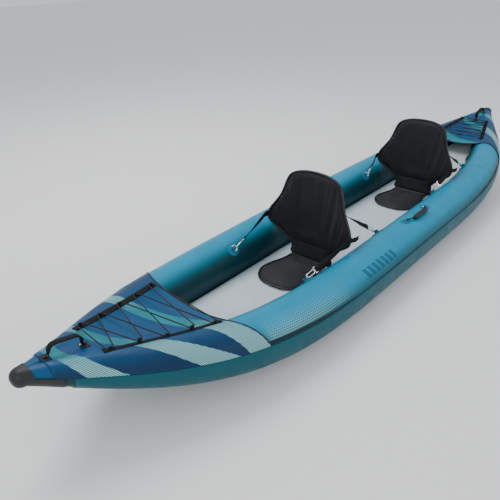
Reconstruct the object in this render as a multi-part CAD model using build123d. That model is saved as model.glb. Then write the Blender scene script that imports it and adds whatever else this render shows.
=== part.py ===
from build123d import *
import os
from math import atan2, cos, degrees, pi, radians, sin, sqrt, tan

# Inflatable tandem kayak. Millimetres, +X to the bow, +Y to port, +Z up.
# Origin: amidships, on the plane that the hull bottom rests on.

# Hull
HALF_LENGTH = 2050.0  # tip of a nose cap from amidships
TUBE_SPREAD = 336.0  # side tube centre from the centreline, amidships
MID_RADIUS = 125.5  # side tube radius amidships
TIP_RADIUS = 22.0  # side tube radius where the two tubes meet
ROCKER_RISE = 362.0  # rise of the hull bottom at the tips
ROCKER_START = 0.25  # share of the half length that stays flat
CLEAR = 0.3  # gap between pieces that lie on each other
COVER_WALL = 3.0
BLADDER_GAP = 1.0
BLADDER_WALL = 2.5
SKIN_WALL = 3.0
CHINE_ANGLE = 18.0  # bottom skin's upper edge above the tube centre, degrees
SKIN_END = 1890.0
FLOOR_DEPTH = 76.0
FLOOR_END = 1640.0
FLOOR_WALL = 3.0
DECK_WALL = 3.0
DECK_LEAN = 18.0  # where the deck leaves the tube crown, degrees inboard
BOW_DECK_EDGE = 1300.0
STERN_DECK_EDGE = -1410.0
DECK_SWEEP = 95.0  # how far the deck edge runs back down the tube side
DECK_END = 1940.0
CAP_WALL = 3.0
CAP_TOP = 60.0  # nose cap length on the top
CAP_BOTTOM = 135.0  # nose cap length below the chine
TUBE_END = 35.0  # tube end from the tip

# Webbing, lacing and grab handles
WEBBING_WIDTH = 25.0
WEBBING = 2.0
CORD = 5.0
LOOP_HOLE = 6.2
LOOP_LONG = 12.0
LOOP_STEP = 7.0  # height between the low and the high run of the cord
LACING = {
    1: [(1742.0, 99.0), (1640.0, 127.0), (1540.0, 154.0), (1440.0, 180.0), (1345.0, 206.0)],
    -1: [(1742.0, 99.0), (1680.0, 116.0), (1618.0, 133.0), (1556.0, 150.0), (1495.0, 166.0)],
}
LOOP_REACH = 14.0  # straight run of the cord each side of a loop's middle
GRAB_FEET = (1924.0, 1790.0)
GRAB_RISE = 42.0
GRAB_LIFT = 9.0  # height of a grab handle's swing line above the deck
STRIP_END = 26.0  # strip beyond its last loop
PIN = 2.5
PIN_HOLE = 2.8

# Carry handles
CARRY_X = (-216.0, 17.0)
CARRY_GRIP = 14.0
CARRY_GRIP_LONG = 140.0
CARRY_PATCH = 27.0
CARRY_LIFT = 8.0  # height of a carry handle's swing line above the tube
CARRY_TILT = 88.0
CARRY_TURN = 12.2  # grip from its swing line, degrees round the tube

# D-rings
RING_WIRE = 2.5
RING_HALF = 15.0
RING_TILT = 45.0  # above the tube centre, on the inboard side
RING_LIFT = 13.0  # height of a D-ring's bar above the tube
PATCH_RADIUS = 36.0
RING_X = ((790.0, 165.0), (-530.0, -1050.0))  # front and rear pair of each seat

# Valves
VALVE_BORE = 10.0
VALVE_NECK = 17.5
VALVE_FLANGE = 27.0
VALVE_RISE = 5.0
VALVE_X = -1250.0
VALVE_TILT = 30.0
FLOOR_VALVE_X = -1150.0
HINGE_OUT = 19.5  # cap hinge from the bore's axis
HINGE_UP = 7.2
EAR_Y = (5.3, 8.3)
CHAMBER_TOP = -5.0
CHAMBER_LOW = -17.0
NECK_LOW = -20.0
DISC_DROP = 2.4  # plunger disc below its sealing rim

# Seats
SEAT_SHIFT = -1195.0  # rear seat from the front seat
SEAT_FRONT = 775.0
SEAT_WIDE_X = 655.0
SEAT_WAIST_X = 520.0
SEAT_REAR = 452.0
SEAT_FRONT_HALF = 100.0
SEAT_WIDE_HALF = 145.0
SEAT_WAIST_HALF = 114.0
PAD_TOP = 115.0
BACK_PIVOT_X = 433.0
BACK_THICK = 22.0
BACK_TALL = 480.0
BACK_FOOT_HALF = 122.0
BACK_WAIST = (70.0, 130.0)  # height above the pivot, half width
BACK_WING = (172.0, 262.0)
BACK_WING_TOP = 245.0
BACK_SHOULDER = (352.0, 186.0)
BACK_TOP_HALF = 140.0
BACK_BEND = 650.0  # plan radius of the backrest
BACK_LEAN = 5.5
BACK_FLAT = 62.0  # height of the flat lower part
LOCK_SIZE = (34.0, 30.0, 5.0)
REAR_LOCK = (330.0, 165.0)  # height above the pivot, distance round the back

# Snap hooks
HOOK_WIRE = 2.4
HOOK_HALF = 9.0
HOOK_RUN = 34.0
GATE_WIRE = 1.9
GATE_LONG = 25.0
GATE_START = 30.0  # gate hinge from the centre of the hook's nose
HOOK_GAP = 1.0  # slack between a hook and its ring
EYE = (13.0, 4.0, 33.0)  # webbing eye of a snap hook
EYE_SLOT = (5.0, 26.5)

# Fin box
FIN_BOX_X = -1180.0
FIN_BOX = (190.0, 34.0, 3.0)
FIN_SLOT = (150.0, 9.0)

SIDES = {"port": 1, "starboard": -1}
SEATS = {"front": 0.0, "rear": SEAT_SHIFT}


def spread(x):
    u = min(abs(x) / HALF_LENGTH, 1)
    return TUBE_SPREAD * (1 - u**4.5) ** 1.75


def radius(x):
    u = min(abs(x) / HALF_LENGTH, 1)
    return TIP_RADIUS + (MID_RADIUS - TIP_RADIUS) * (1 - u**5)


def rocker(x):
    u = min(abs(x) / HALF_LENGTH, 1)
    return ROCKER_RISE * (max(u - ROCKER_START, 0) / (1 - ROCKER_START)) ** 2.77


def height(x):
    """Height of the side tube's centre."""
    return rocker(x) + SKIN_WALL + CLEAR + radius(x)


def chine(x):
    u = min(abs(x) / HALF_LENGTH, 1)
    return radians(CHINE_ANGLE * (1 - u**6))


# Every lofted hull piece shares these sections, so that neighbours stay parallel.
STEP_SHARES = [0, 0.12, 0.24, 0.34, 0.42, 0.5, 0.57, 0.63, 0.69, 0.745, 0.795, 0.84, 0.88]
STEP_SHARES += [0.912, 0.938, 0.96]
TUBE_TIP = HALF_LENGTH - TUBE_END
HALF_STATIONS = [share * HALF_LENGTH for share in STEP_SHARES] + [TUBE_TIP]
STATIONS = [-x for x in reversed(HALF_STATIONS[1:])] + HALF_STATIONS


def stations(low, high):
    """The shared sections that bracket a stretch of hull."""
    below = max([x for x in STATIONS if x <= low], default=STATIONS[0])
    above = min([x for x in STATIONS if x >= high], default=STATIONS[-1])
    return [x for x in STATIONS if below <= x <= above]


def section(x):
    return Plane(origin=(x, 0, 0), x_dir=(0, 1, 0), z_dir=(1, 0, 0))


def put(name, *shapes):
    """Write one node."""
    solids = [solid for shape in shapes for solid in shape.solids()]
    export_step(Compound(children=solids) if len(solids) > 1 else solids[0], f"parts/{name}.step")


def tube(side, grow, low=-HALF_LENGTH, high=HALF_LENGTH):
    """One side tube, whole sections only, with its surface moved out by grow."""
    faces = []
    for x in stations(low, high):
        face = section(x) * Pos(side * spread(x), height(x)) * Circle(radius(x) + grow)
        faces.append(face)
    return loft(faces, ruled=True)


def half_space(side, gap):
    """All that lies more than gap to one side of the centreline."""
    wide = 3 * TUBE_SPREAD
    return Pos(0, side * (wide / 2 + gap), 0) * Box(2.2 * HALF_LENGTH, wide, 4 * TUBE_SPREAD)


def trim(shape, low, high):
    """Keep the part of a shape between two places along the hull."""
    wide = 4 * TUBE_SPREAD
    return shape & Pos((low + high) / 2, 0, 0) * Box(high - low, wide, wide)


def ruled(size, x):
    """A size at x as the straight-sided lofts have it, between two shared sections."""
    low, high = stations(x, x)[0], stations(x, x)[-1]
    share = (x - low) / (high - low) if high > low else 0
    return size(low) * (1 - share) + size(high) * share


def tube_point(x, side, tilt):
    """A point on a side tube; tilt is the angle above its centre on the inboard side."""
    ring = ruled(radius, x)
    y = ruled(spread, x) - ring * cos(radians(tilt))
    return Vector(x, side * y, ruled(height, x) + ring * sin(radians(tilt)))


def on_tube(x, side, tilt, lift=0.0):
    """Frame on a side tube's surface: z out of the tube, x along it."""
    along = tube_point(x + 5, side, tilt) - tube_point(x - 5, side, tilt)
    around = Vector(0, side * sin(radians(tilt)), cos(radians(tilt)))
    out = around.cross(along) if side > 0 else along.cross(around)
    out = out.normalized()
    if out.Z * sin(radians(tilt)) < 0:
        out = out * -1
    return Plane(origin=tube_point(x, side, tilt) + out * lift, x_dir=along, z_dir=out)


def side_tubes():
    for name, side in SIDES.items():
        cover = tube(side, 0) & half_space(side, CLEAR / 2)
        hollow = tube(side, -COVER_WALL) & half_space(side, CLEAR / 2 + COVER_WALL)
        hollow = trim(hollow, -TUBE_TIP + COVER_WALL, TUBE_TIP - COVER_WALL)
        gap = COVER_WALL + BLADDER_GAP
        air = tube(side, -gap) & half_space(side, CLEAR / 2 + gap)
        air = trim(air, -TUBE_TIP + gap, TUBE_TIP - gap)
        full = gap + BLADDER_WALL
        inside = tube(side, -full) & half_space(side, CLEAR / 2 + full)
        inside = trim(inside, -TUBE_TIP + full, TUBE_TIP - full)
        seat = valve_frame(side)
        hole = seat * Cylinder(VALVE_NECK + CLEAR, 60)
        put(f"{name}_side_tube_cover", cover - hollow - hole)
        put(f"{name}_bladder", air - inside - hole)


def skin_section(x):
    """Bottom skin section: up one side, across the bottom and up the other."""
    inner = radius(x) + CLEAR
    outer = inner + SKIN_WALL
    lift = chine(x)
    mid = height(x)
    far = spread(x)

    def at(ring, angle, side):
        return (side * (far + ring * cos(angle)), mid + ring * sin(angle))

    low = -pi / 2
    half = (lift + low) / 2
    edges = [
        ThreePointArc(at(outer, lift, -1), at(outer, half, -1), at(outer, low, -1)),
        Line(at(outer, low, -1), at(outer, low, 1)),
        ThreePointArc(at(outer, low, 1), at(outer, half, 1), at(outer, lift, 1)),
        Line(at(outer, lift, 1), at(inner, lift, 1)),
        ThreePointArc(at(inner, lift, 1), at(inner, half, 1), at(inner, low, 1)),
        Line(at(inner, low, 1), at(inner, low, -1)),
        ThreePointArc(at(inner, low, -1), at(inner, half, -1), at(inner, lift, -1)),
        Line(at(inner, lift, -1), at(outer, lift, -1)),
    ]
    return section(x) * make_face(Curve() + edges)


def bottom_skin():
    strip = loft([skin_section(x) for x in stations(-SKIN_END, SKIN_END)], ruled=True)
    return trim(strip, -SKIN_END, SKIN_END)


def floor_half(x):
    """Half width between the centres of the floor's rounded edges."""
    edge = FLOOR_DEPTH / 2
    reach = (radius(x) + edge + 2 * CLEAR) ** 2 - (radius(x) - edge) ** 2
    return max(spread(x) - sqrt(reach), 1)


def floor_body(grow=0.0, low=-FLOOR_END, high=FLOOR_END):
    """The floor panel, with its surface moved out by grow."""
    faces = []
    edge = FLOOR_DEPTH / 2
    for x in stations(low, high):
        mid = rocker(x) + SKIN_WALL + CLEAR + edge
        slot = SlotCenterToCenter(2 * floor_half(x), FLOOR_DEPTH + 2 * grow)
        faces.append(section(x) * Pos(0, mid) * slot)
    return loft(faces, ruled=True)


def floor_panel():
    outside = trim(floor_body(), -FLOOR_END, FLOOR_END)
    inside = trim(floor_body(-FLOOR_WALL), -FLOOR_END + FLOOR_WALL, FLOOR_END - FLOOR_WALL)
    hole = floor_valve_frame() * Cylinder(VALVE_NECK + CLEAR, 40)
    return outside - inside - hole


def floor_top(x):
    """Height of the floor's top face."""
    return ruled(rocker, x) + SKIN_WALL + CLEAR + FLOOR_DEPTH


def deck_points(x, grow):
    """Half of a deck section: chine, mid of the tube arc, where it leaves the tube, centre."""
    ring = radius(x) + CLEAR + grow
    far = spread(x)
    start = chine(x) + 1.5 / ring
    leave = pi / 2 + radians(DECK_LEAN)
    half = (start + leave) / 2
    span = far + ring * cos(leave)
    top = height(x) + ring * sin(leave)
    sag = span * tan(radians(DECK_LEAN) / 2)
    arc = [(far + ring * cos(a), height(x) + ring * sin(a)) for a in (start, half, leave)]
    return arc + [(0, top - sag)]


def deck_section(x, low, high):
    """A deck sheet's section between two offsets from the tube."""
    under, over = deck_points(x, low), deck_points(x, high)

    def flip(points):
        return [(-y, z) for y, z in points]

    edges = [
        ThreePointArc(over[0], over[1], over[2]),
        ThreePointArc(over[2], over[3], flip(over)[2]),
        ThreePointArc(flip(over)[2], flip(over)[1], flip(over)[0]),
        Line(flip(over)[0], flip(under)[0]),
        ThreePointArc(flip(under)[0], flip(under)[1], flip(under)[2]),
        ThreePointArc(flip(under)[2], under[3], under[2]),
        ThreePointArc(under[2], under[1], under[0]),
        Line(under[0], over[0]),
    ]
    return section(x) * make_face(Curve() + edges)


def deck_sheet(low, high, start, end):
    faces = [deck_section(x, low, high) for x in stations(min(start, end), max(start, end))]
    return loft(faces, ruled=True)


def deck_outline(edge):
    """Plan of a deck: straight across the middle, swept back over the tubes."""
    way = 1 if edge > 0 else -1
    inner = TUBE_SPREAD * 0.7
    outer = TUBE_SPREAD + 2 * MID_RADIUS
    back = edge - way * DECK_SWEEP
    points = [(edge, -inner), (edge, inner), (back, outer), (way * DECK_END, outer)]
    points += [(way * DECK_END, -outer), (back, -outer)]
    return Pos(0, 0, -50) * extrude(make_face(Polyline(points, close=True)), 900)


def deck(edge):
    way = 1 if edge > 0 else -1
    back = edge - way * DECK_SWEEP
    return deck_sheet(0, DECK_WALL, back, way * DECK_END) & deck_outline(edge)


def deck_frame(x, y, lift=0.0):
    """Frame on a deck's top surface at a place in plan, z up out of the deck."""

    def top(px, py):
        return ruled(lambda station: deck_height(station, py), px)

    along = Vector(10, 0, top(x + 5, y) - top(x - 5, y))
    across = Vector(0, 2, top(x, y + 1) - top(x, y - 1))
    out = along.cross(across).normalized()
    return Plane(origin=Vector(x, y, top(x, y)) + out * lift, x_dir=along, z_dir=out)


def deck_height(x, y):
    """Height of the deck's top surface at one shared section."""
    points = deck_points(x, DECK_WALL)
    ring = radius(x) + CLEAR + DECK_WALL
    if abs(y) > points[2][0]:
        return height(x) + sqrt(ring**2 - (abs(y) - spread(x)) ** 2)
    bend = points[2][0] / sin(radians(DECK_LEAN))
    return points[3][1] + bend - sqrt(bend**2 - y**2)


def nose_body(way, grow):
    """The merged hull end as one rounded loft, from a tube section out to the tube end."""
    faces = []
    first = HALF_LENGTH - CAP_BOTTOM
    for x in stations(first, TUBE_TIP):
        slot = SlotCenterToCenter(2 * spread(x) + 2, 2 * (radius(x) + grow))
        faces.append(section(way * x) * Pos(0, height(x)) * slot)
    return loft(faces, ruled=True)


def nose_cap(way):
    """Rubber bumper: full round the tip, and further back below the chine."""
    grow = CLEAR + CAP_WALL
    tip = TUBE_TIP
    slot = SlotCenterToCenter(2 * spread(tip) + 2, 2 * (radius(tip) + grow))
    dome = extrude(section(way * tip) * Pos(0, height(tip)) * slot, way * TUBE_END)
    outer_face = dome.faces().sort_by(Axis.X)[-1 if way > 0 else 0]
    dome = fillet(outer_face.edges(), min(TUBE_END, radius(tip) + grow) * 0.88)
    shell = nose_body(way, grow) - nose_body(way, CLEAR)
    top = HALF_LENGTH - CAP_TOP
    back = HALF_LENGTH - CAP_BOTTOM
    above = height(top) + 2
    corner = height(back) + 2
    outline = [(top, 900), (top, above), (back, corner), (back, 0), (tip, 0), (tip, 900)]
    outline = [(way * x, z) for x, z in outline]
    region = extrude(Plane.XZ * make_face(Polyline(outline, close=True)), 300, both=True)
    return (shell & region) + dome


def strip_on_deck(points, way):
    """Flat webbing sewn along a deck, following its surface."""
    wide = WEBBING_WIDTH / 2
    route = [(way * x, y) for x, y in points]
    band = trace(Polyline(route), line_width=2 * wide)
    prism = Pos(0, 0, -50) * extrude(band, 900)
    low, high = DECK_WALL + CLEAR, DECK_WALL + CLEAR + WEBBING
    start = min(x for x, y in route) - 30
    end = max(x for x, y in route) + 30
    return deck_sheet(low, high, start, end) & prism


def lacing_lift(index, side):
    """Height of the cord above the deck: every other loop is taller, so that runs cross clear."""
    low_run = (index % 2 == 0) == (side > 0)
    return CLEAR + WEBBING + LOOP_HOLE / 2 + 1.2 + (0 if low_run else LOOP_STEP)


def lacing_places(way, side):
    """Loops of one strip, tip end first, as frames on the cord's line."""
    return [
        deck_frame(way * x, side * y, lacing_lift(index, side))
        for index, (x, y) in enumerate(LACING[way])
    ]


def lacing_loop(foot):
    tall = foot - CLEAR - 1 + LOOP_HOLE / 2 + WEBBING
    block = Pos(0, 0, LOOP_HOLE / 2 + WEBBING - tall / 2) * Box(LOOP_LONG, WEBBING_WIDTH, tall)
    return block - Rot(0, 90, 0) * Cylinder(LOOP_HOLE / 2, 4 * LOOP_LONG)


def deck_webbing(way):
    pieces = []
    for side in SIDES.values():
        first, last = LACING[way][0], LACING[way][-1]
        dx, dy = first[0] - last[0], first[1] - last[1]
        reach = STRIP_END / sqrt(dx * dx + dy * dy)
        route = [(first[0] + dx * reach, first[1] + dy * reach)] + LACING[way][1:-1]
        route += [(last[0] - dx * reach, last[1] - dy * reach)]
        strip = strip_on_deck([(x, side * y) for x, y in route], way)
        below = deck_sheet(-10, DECK_WALL + CLEAR, way * route[0][0], way * route[-1][0])
        for index, place in enumerate(lacing_places(way, side)):
            strip += place * lacing_loop(lacing_lift(index, side)) - below
        pieces.append(strip)
    return pieces


def lacing_route(way):
    """Centre line of the cord through the loops, as corner points."""
    port, starboard = lacing_places(way, 1), lacing_places(way, -1)
    order = [port[0], starboard[1], port[2], starboard[3], port[4]]
    order += [starboard[4], port[3], starboard[2], port[1], starboard[0]]
    points = []
    for index, place in enumerate(order):
        before = order[index - 1].origin
        after = order[(index + 1) % len(order)].origin
        reach = place.x_dir * LOOP_REACH * (1 if after.X > before.X else -1)
        points += [place.origin - reach, place.origin + reach]
    return points


def cord_path(points):
    """Straight runs with each corner rounded between a loop's end and the next run."""
    radii = []
    for index in range(1, len(points) - 1):
        back = points[index - 1] - points[index]
        ahead = points[index + 1] - points[index]
        turn = radians(180 - back.get_angle(ahead))
        room = min(LOOP_REACH - LOOP_LONG / 2, 0.45 * back.length, 0.45 * ahead.length)
        radii.append(room / tan(turn / 2))
    return FilletPolyline(points, radius=radii), radii


def bungee(way):
    """One cord laced through every loop, its ends meeting inside the first loop."""
    route = lacing_route(way)
    middle = (route[0] + route[1]) * 0.5
    gap = (route[1] - route[0]).normalized() * 0.6
    points = [middle + gap] + route[1:] + [route[0], middle - gap]
    path, radii = cord_path(points)
    start = Plane(origin=path @ 0, z_dir=path % 0)
    cord = sweep(start * Circle(CORD / 2), path=path)
    share = cord.volume / (pi * CORD**2 / 4 * path.length)
    print("cord", way, "length", round(path.length), "volume share", round(share, 4))
    print("smallest radius", round(min(radii), 1))
    return cord


def cord_lock(way):
    """Barrel lock on the cord where it crosses the deck edge."""
    ends = [lacing_places(way, side)[-1] for side in (1, -1)]
    ends = [place.origin - place.x_dir * way * LOOP_REACH for place in ends]
    place = Plane(origin=(ends[0] + ends[1]) * 0.5, z_dir=ends[1] - ends[0])
    barrel = Cylinder(9, 22)
    barrel = fillet(barrel.edges().filter_by(GeomType.CIRCLE), 1.5)
    button = Pos(0, 9, 0) * Rot(90, 0, 0) * Cylinder(4.5, 9)
    return place * (barrel + button - Cylinder(CORD / 2 + CLEAR, 30))


def eye_block(long, hole, foot):
    """A sewn webbing eye: block on its foot with a hole along x at height zero."""
    tall = foot + hole + WEBBING
    block = Pos(0, 0, tall / 2 - foot) * Box(long, 2 * hole + 2 * WEBBING + 1, tall)
    return block - Rot(0, 90, 0) * Cylinder(hole, 3 * long)


def grab_line(way):
    feet = [deck_frame(way * x, 0, GRAB_LIFT).origin for x in sorted(GRAB_FEET, reverse=way < 0)]
    feet = sorted(feet, key=lambda point: point.X)
    middle = (feet[0] + feet[1]) * 0.5
    along = (feet[1] - feet[0]).normalized()
    up = along.cross(Vector(0, 1, 0)).normalized()
    return Plane(origin=middle, x_dir=along, z_dir=up), (feet[1] - feet[0]).length


def grab_handle(way):
    line, long = grab_line(way)
    leg = long / 2 - 7
    route = [(-leg, 0), (-leg, GRAB_RISE), (leg, GRAB_RISE), (leg, 0)]
    ribbon = trace(FilletPolyline(route, radius=15), line_width=1.5 * WEBBING)
    strap = extrude(Plane.XZ * ribbon, WEBBING_WIDTH / 2, both=True)
    half, foot, neck = WEBBING_WIDTH / 2, 5.0, 24.0
    taper = [(-foot, -4), (foot, -4), (foot, 2), (half, neck), (half, 90), (-half, 90)]
    taper += [(-half, neck), (-foot, 2)]
    strap &= extrude(Plane.YZ * make_face(Polyline(taper, close=True)), long, both=True)
    pins = [Pos(end * (leg + 7), 0, 0) * Rot(0, 90, 0) * Cylinder(PIN, 15) for end in (-1, 1)]
    return line * (strap + pins)


def grab_anchors(way):
    line, long = grab_line(way)
    pieces = []
    for end in (-1, 1):
        x = (line * Pos(end * (long / 2 + 3), 0, 0)).position.X
        ear = line * Pos(end * (long / 2 + 3), 0, 0) * eye_block(9, PIN_HOLE, GRAB_LIFT + 6)
        plate = deck_sheet(DECK_WALL + CLEAR, DECK_WALL + CLEAR + WEBBING, x - 16, x + 16)
        ring = Pos(x, 0, 0) * extrude(RectangleRounded(30, 40, 6), 900)
        below = deck_sheet(-12, DECK_WALL + CLEAR, x - 16, x + 16)
        pieces.append((plate & ring) + (ear - below))
    return pieces


def carry_line(side):
    middle = sum(CARRY_X) / 2
    return on_tube(middle, side, CARRY_TILT, CARRY_LIFT)


def patch(x, side, tilt, size, thick=WEBBING + 0.5):
    """Round welded patch that follows the tube."""
    disc = on_tube(x, side, tilt) * Cylinder(size, 60)
    low, high = x - size - 1, x + size + 1
    return disc & (tube(side, CLEAR + thick, low, high) - tube(side, CLEAR, low, high))


def carry_anchors(side):
    pieces = []
    for x in CARRY_X:
        place = on_tube(x, side, CARRY_TILT, CARRY_LIFT)
        ear = place * eye_block(12, PIN_HOLE, CARRY_LIFT + 3)
        ear -= tube(side, CLEAR, x - 10, x + 10)
        pieces.append(patch(x, side, CARRY_TILT, CARRY_PATCH) + ear)
    return pieces


def carry_handle(side):
    """Grip on two webbing legs, lying outboard of its swing line."""
    line = carry_line(side)
    grip_ring = MID_RADIUS + CARRY_GRIP + 2 * CLEAR
    swing = MID_RADIUS + CARRY_LIFT
    turn = radians(CARRY_TURN)
    across = grip_ring * sin(turn)
    rise = grip_ring * cos(turn) - swing
    reach = sqrt(across**2 + rise**2)
    lean = degrees(atan2(rise, across))
    half = (CARRY_X[1] - CARRY_X[0]) / 2
    body = Pos(0, reach, 0) * Rot(0, 90, 0) * Cylinder(CARRY_GRIP, CARRY_GRIP_LONG)
    body = fillet(body.edges().filter_by(GeomType.CIRCLE), 3)
    for end in (-1, 1):
        near = end * (half - 12)
        route = [(near, 0), (end * (CARRY_GRIP_LONG / 2 + 14), reach)]
        route += [(end * (CARRY_GRIP_LONG / 2 - 12), reach)]
        leg = trace(FilletPolyline(route, radius=10), line_width=9)
        body += extrude(leg, 1.5, both=True)
        body += Pos(end * (half - 1), 0, 0) * Rot(0, 90, 0) * Cylinder(PIN, 18)
    local = Rot(side * lean, 0, 0)
    flip = Plane(origin=line.origin, x_dir=(1, 0, 0), z_dir=(0, 0, 1))
    mirror_y = body if side > 0 else mirror(body, about=Plane.XZ)
    tilt = side * (90 - CARRY_TILT)
    return flip * Rot(tilt, 0, 0) * local * mirror_y


def seat_pivot(shift):
    x = BACK_PIVOT_X + shift
    return Vector(x, 0, floor_top(x) + BACK_THICK / 2 + 2 * CLEAR)


def back_place(shift):
    return Pos(seat_pivot(shift)) * Rot(0, -BACK_LEAN, 0)


def front_lock(shift, side):
    """Ladder lock on a wing's edge, with the point where its strap leaves."""
    edge = BACK_WING[1] + CLEAR + LOCK_SIZE[2] / 2
    tall = (BACK_WING[0] + BACK_WING_TOP) / 2
    bend = BACK_BEND - sqrt(BACK_BEND**2 - BACK_WING[1] ** 2)
    place = back_place(shift) * Pos(bend + 12, side * edge, tall) * Rot(90, 0, 0)
    return place, Pos(LOCK_SIZE[0] / 2 + CLEAR, 0, 0)


def rear_lock(shift, side):
    """Ladder lock on the back's rear face, with the point where its strap leaves."""
    ring = BACK_BEND + BACK_THICK / 2 + 2 * CLEAR + LOCK_SIZE[2] / 2
    turn = side * degrees(REAR_LOCK[1] / ring)
    tall = REAR_LOCK[0]
    place = back_place(shift) * Pos(BACK_BEND, 0, tall) * Rot(0, 0, -turn) * Pos(-ring, 0, 0)
    return place * Rot(0, 90, 0), Pos(LOCK_SIZE[0] / 2 + CLEAR, 0, 0)


def lock_plate(place):
    plate = Box(*LOCK_SIZE) - Pos(8, 0, 0) * Box(5, 26, 20) - Pos(-6, 0, 0) * Box(5, 26, 20)
    return place * plate


def strap_pair(shift, side, which):
    """Everything on one strap line: ring bar, pull direction and lock."""
    place, leave = (front_lock if which == 0 else rear_lock)(shift, side)
    x = RING_X[0 if shift == 0 else 1][which]
    bar = on_tube(x, side, RING_TILT, RING_LIFT)
    end = (place * leave).position
    return bar, end, place


def ring_axes(bar, end):
    """Axes of a D-ring pulled towards its strap: along the pull, bar and normal."""
    pull = end - bar.origin
    rod = bar.y_dir
    pull = (pull - rod * pull.dot(rod)).normalized()
    normal = pull.cross(rod).normalized()
    if normal.dot(bar.z_dir) < 0:
        normal = normal * -1
    return pull, rod, normal


def half_ring(ring, wire):
    """Half of a wire ring, on the x > 0 side."""
    return Torus(ring, wire) & Pos(2 * ring, 0, 0) * Box(4 * ring, 4 * ring, 4 * ring)


def d_ring(bar, end):
    pull, rod, normal = ring_axes(bar, end)
    place = Plane(origin=bar.origin, x_dir=pull, z_dir=pull.cross(rod))
    shape = Pos(4, 0, 0) * half_ring(RING_HALF, RING_WIRE)
    for end_y in (-1, 1):
        shape += Pos(2, end_y * RING_HALF, 0) * Rot(0, 90, 0) * Cylinder(RING_WIRE, 4)
        shape += Pos(0, end_y * RING_HALF, 0) * Sphere(RING_WIRE)
    shape += Rot(90, 0, 0) * Cylinder(RING_WIRE, 2 * RING_HALF)
    return place * shape


def d_ring_patch(x, side, bar):
    keeper = Rot(0, 0, 90) * eye_block(22, PIN_HOLE, RING_LIFT + 3)
    keeper = (bar * keeper) - tube(side, CLEAR, x - 20, x + 20)
    return patch(x, side, RING_TILT, PATCH_RADIUS) + keeper


def hook_place(bar, end):
    """Frame of a snap hook on its ring: x along the strap, z away from the tube."""
    pull, rod, normal = ring_axes(bar, end)
    apex = bar.origin + pull * (4 + RING_HALF)
    along = (end - apex).normalized()
    centre = apex + along * (HOOK_HALF - RING_WIRE - HOOK_WIRE - HOOK_GAP)
    out = (normal - along * normal.dot(along)).normalized()
    return Plane(origin=centre, x_dir=along, z_dir=out)


def hook_body():
    turned = Rot(90, 0, 0)
    nose = turned * Rot(0, 0, 180) * half_ring(HOOK_HALF, HOOK_WIRE)
    heel = Pos(HOOK_RUN, 0, 0) * turned * half_ring(HOOK_HALF, HOOK_WIRE)
    rod = Rot(0, 90, 0) * Cylinder(HOOK_WIRE, HOOK_RUN)
    back = Pos(HOOK_RUN / 2, 0, -HOOK_HALF) * rod
    tip = Pos(1.75, 0, HOOK_HALF) * Rot(0, 90, 0) * Cylinder(HOOK_WIRE, 3.5)
    root_long = HOOK_RUN - GATE_START - GATE_WIRE - CLEAR
    root = Pos(HOOK_RUN - root_long / 2, 0, HOOK_HALF) * Rot(0, 90, 0) * Cylinder(HOOK_WIRE, root_long)
    eye = Box(*EYE) - Box(EYE_SLOT[0], 10, EYE_SLOT[1])
    eye = Pos(HOOK_RUN + HOOK_HALF + EYE[0] / 2 + 1, 0, 0) * eye
    return nose + heel + back + tip + root + eye


def gate_bar():
    bar = Pos(GATE_START - GATE_LONG / 2, 0, HOOK_HALF) * Rot(0, 90, 0) * Cylinder(GATE_WIRE, GATE_LONG)
    return bar + Pos(GATE_START, 0, HOOK_HALF) * Rot(90, 0, 0) * Cylinder(GATE_WIRE, 2 * GATE_WIRE)


def ribbon_face(centre, along, wide_dir):
    face = Plane(origin=centre, x_dir=wide_dir, z_dir=along)
    return face * Rectangle(WEBBING_WIDTH, WEBBING)


def strap(bar, end, place):
    """Webbing from a snap hook's eye to a ladder lock, turning to suit both."""
    hook = hook_place(bar, end)
    start = (hook * Pos(HOOK_RUN + HOOK_HALF + EYE[0] + 1 + CLEAR, 0, 0)).position
    along = (end - start).normalized()
    lock_wide = Vector(*(Plane(place).y_dir))
    lock_wide = (lock_wide - along * lock_wide.dot(along)).normalized()
    if lock_wide.dot(hook.z_dir) < 0:
        lock_wide = lock_wide * -1
    lock = Plane(place)
    finish = ribbon_face(end, lock.x_dir * -1, lock.y_dir * (1 if lock.y_dir.dot(lock_wide) > 0 else -1))
    return loft([ribbon_face(start, along, hook.z_dir), finish])


def pad_outline(shift):
    half = [(SEAT_FRONT, SEAT_FRONT_HALF), (SEAT_WIDE_X, SEAT_WIDE_HALF)]
    half += [(SEAT_WAIST_X, SEAT_WAIST_HALF), (SEAT_REAR, SEAT_WAIST_HALF)]
    points = half + [(x, -y) for x, y in reversed(half)]
    face = make_face(Polyline([(x + shift, y) for x, y in points], close=True))
    return fillet(face.vertices(), 16)


def seat_pad(shift):
    """Padded base, shaped underneath to the floor it lies on."""
    bottom = 60.0
    block = Pos(0, 0, bottom) * extrude(pad_outline(shift), PAD_TOP - bottom)
    block = fillet(block.edges().group_by(Axis.Z)[-1], 12)
    return block - floor_body(CLEAR, SEAT_REAR + shift - 10, SEAT_FRONT + shift + 10)


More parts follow.
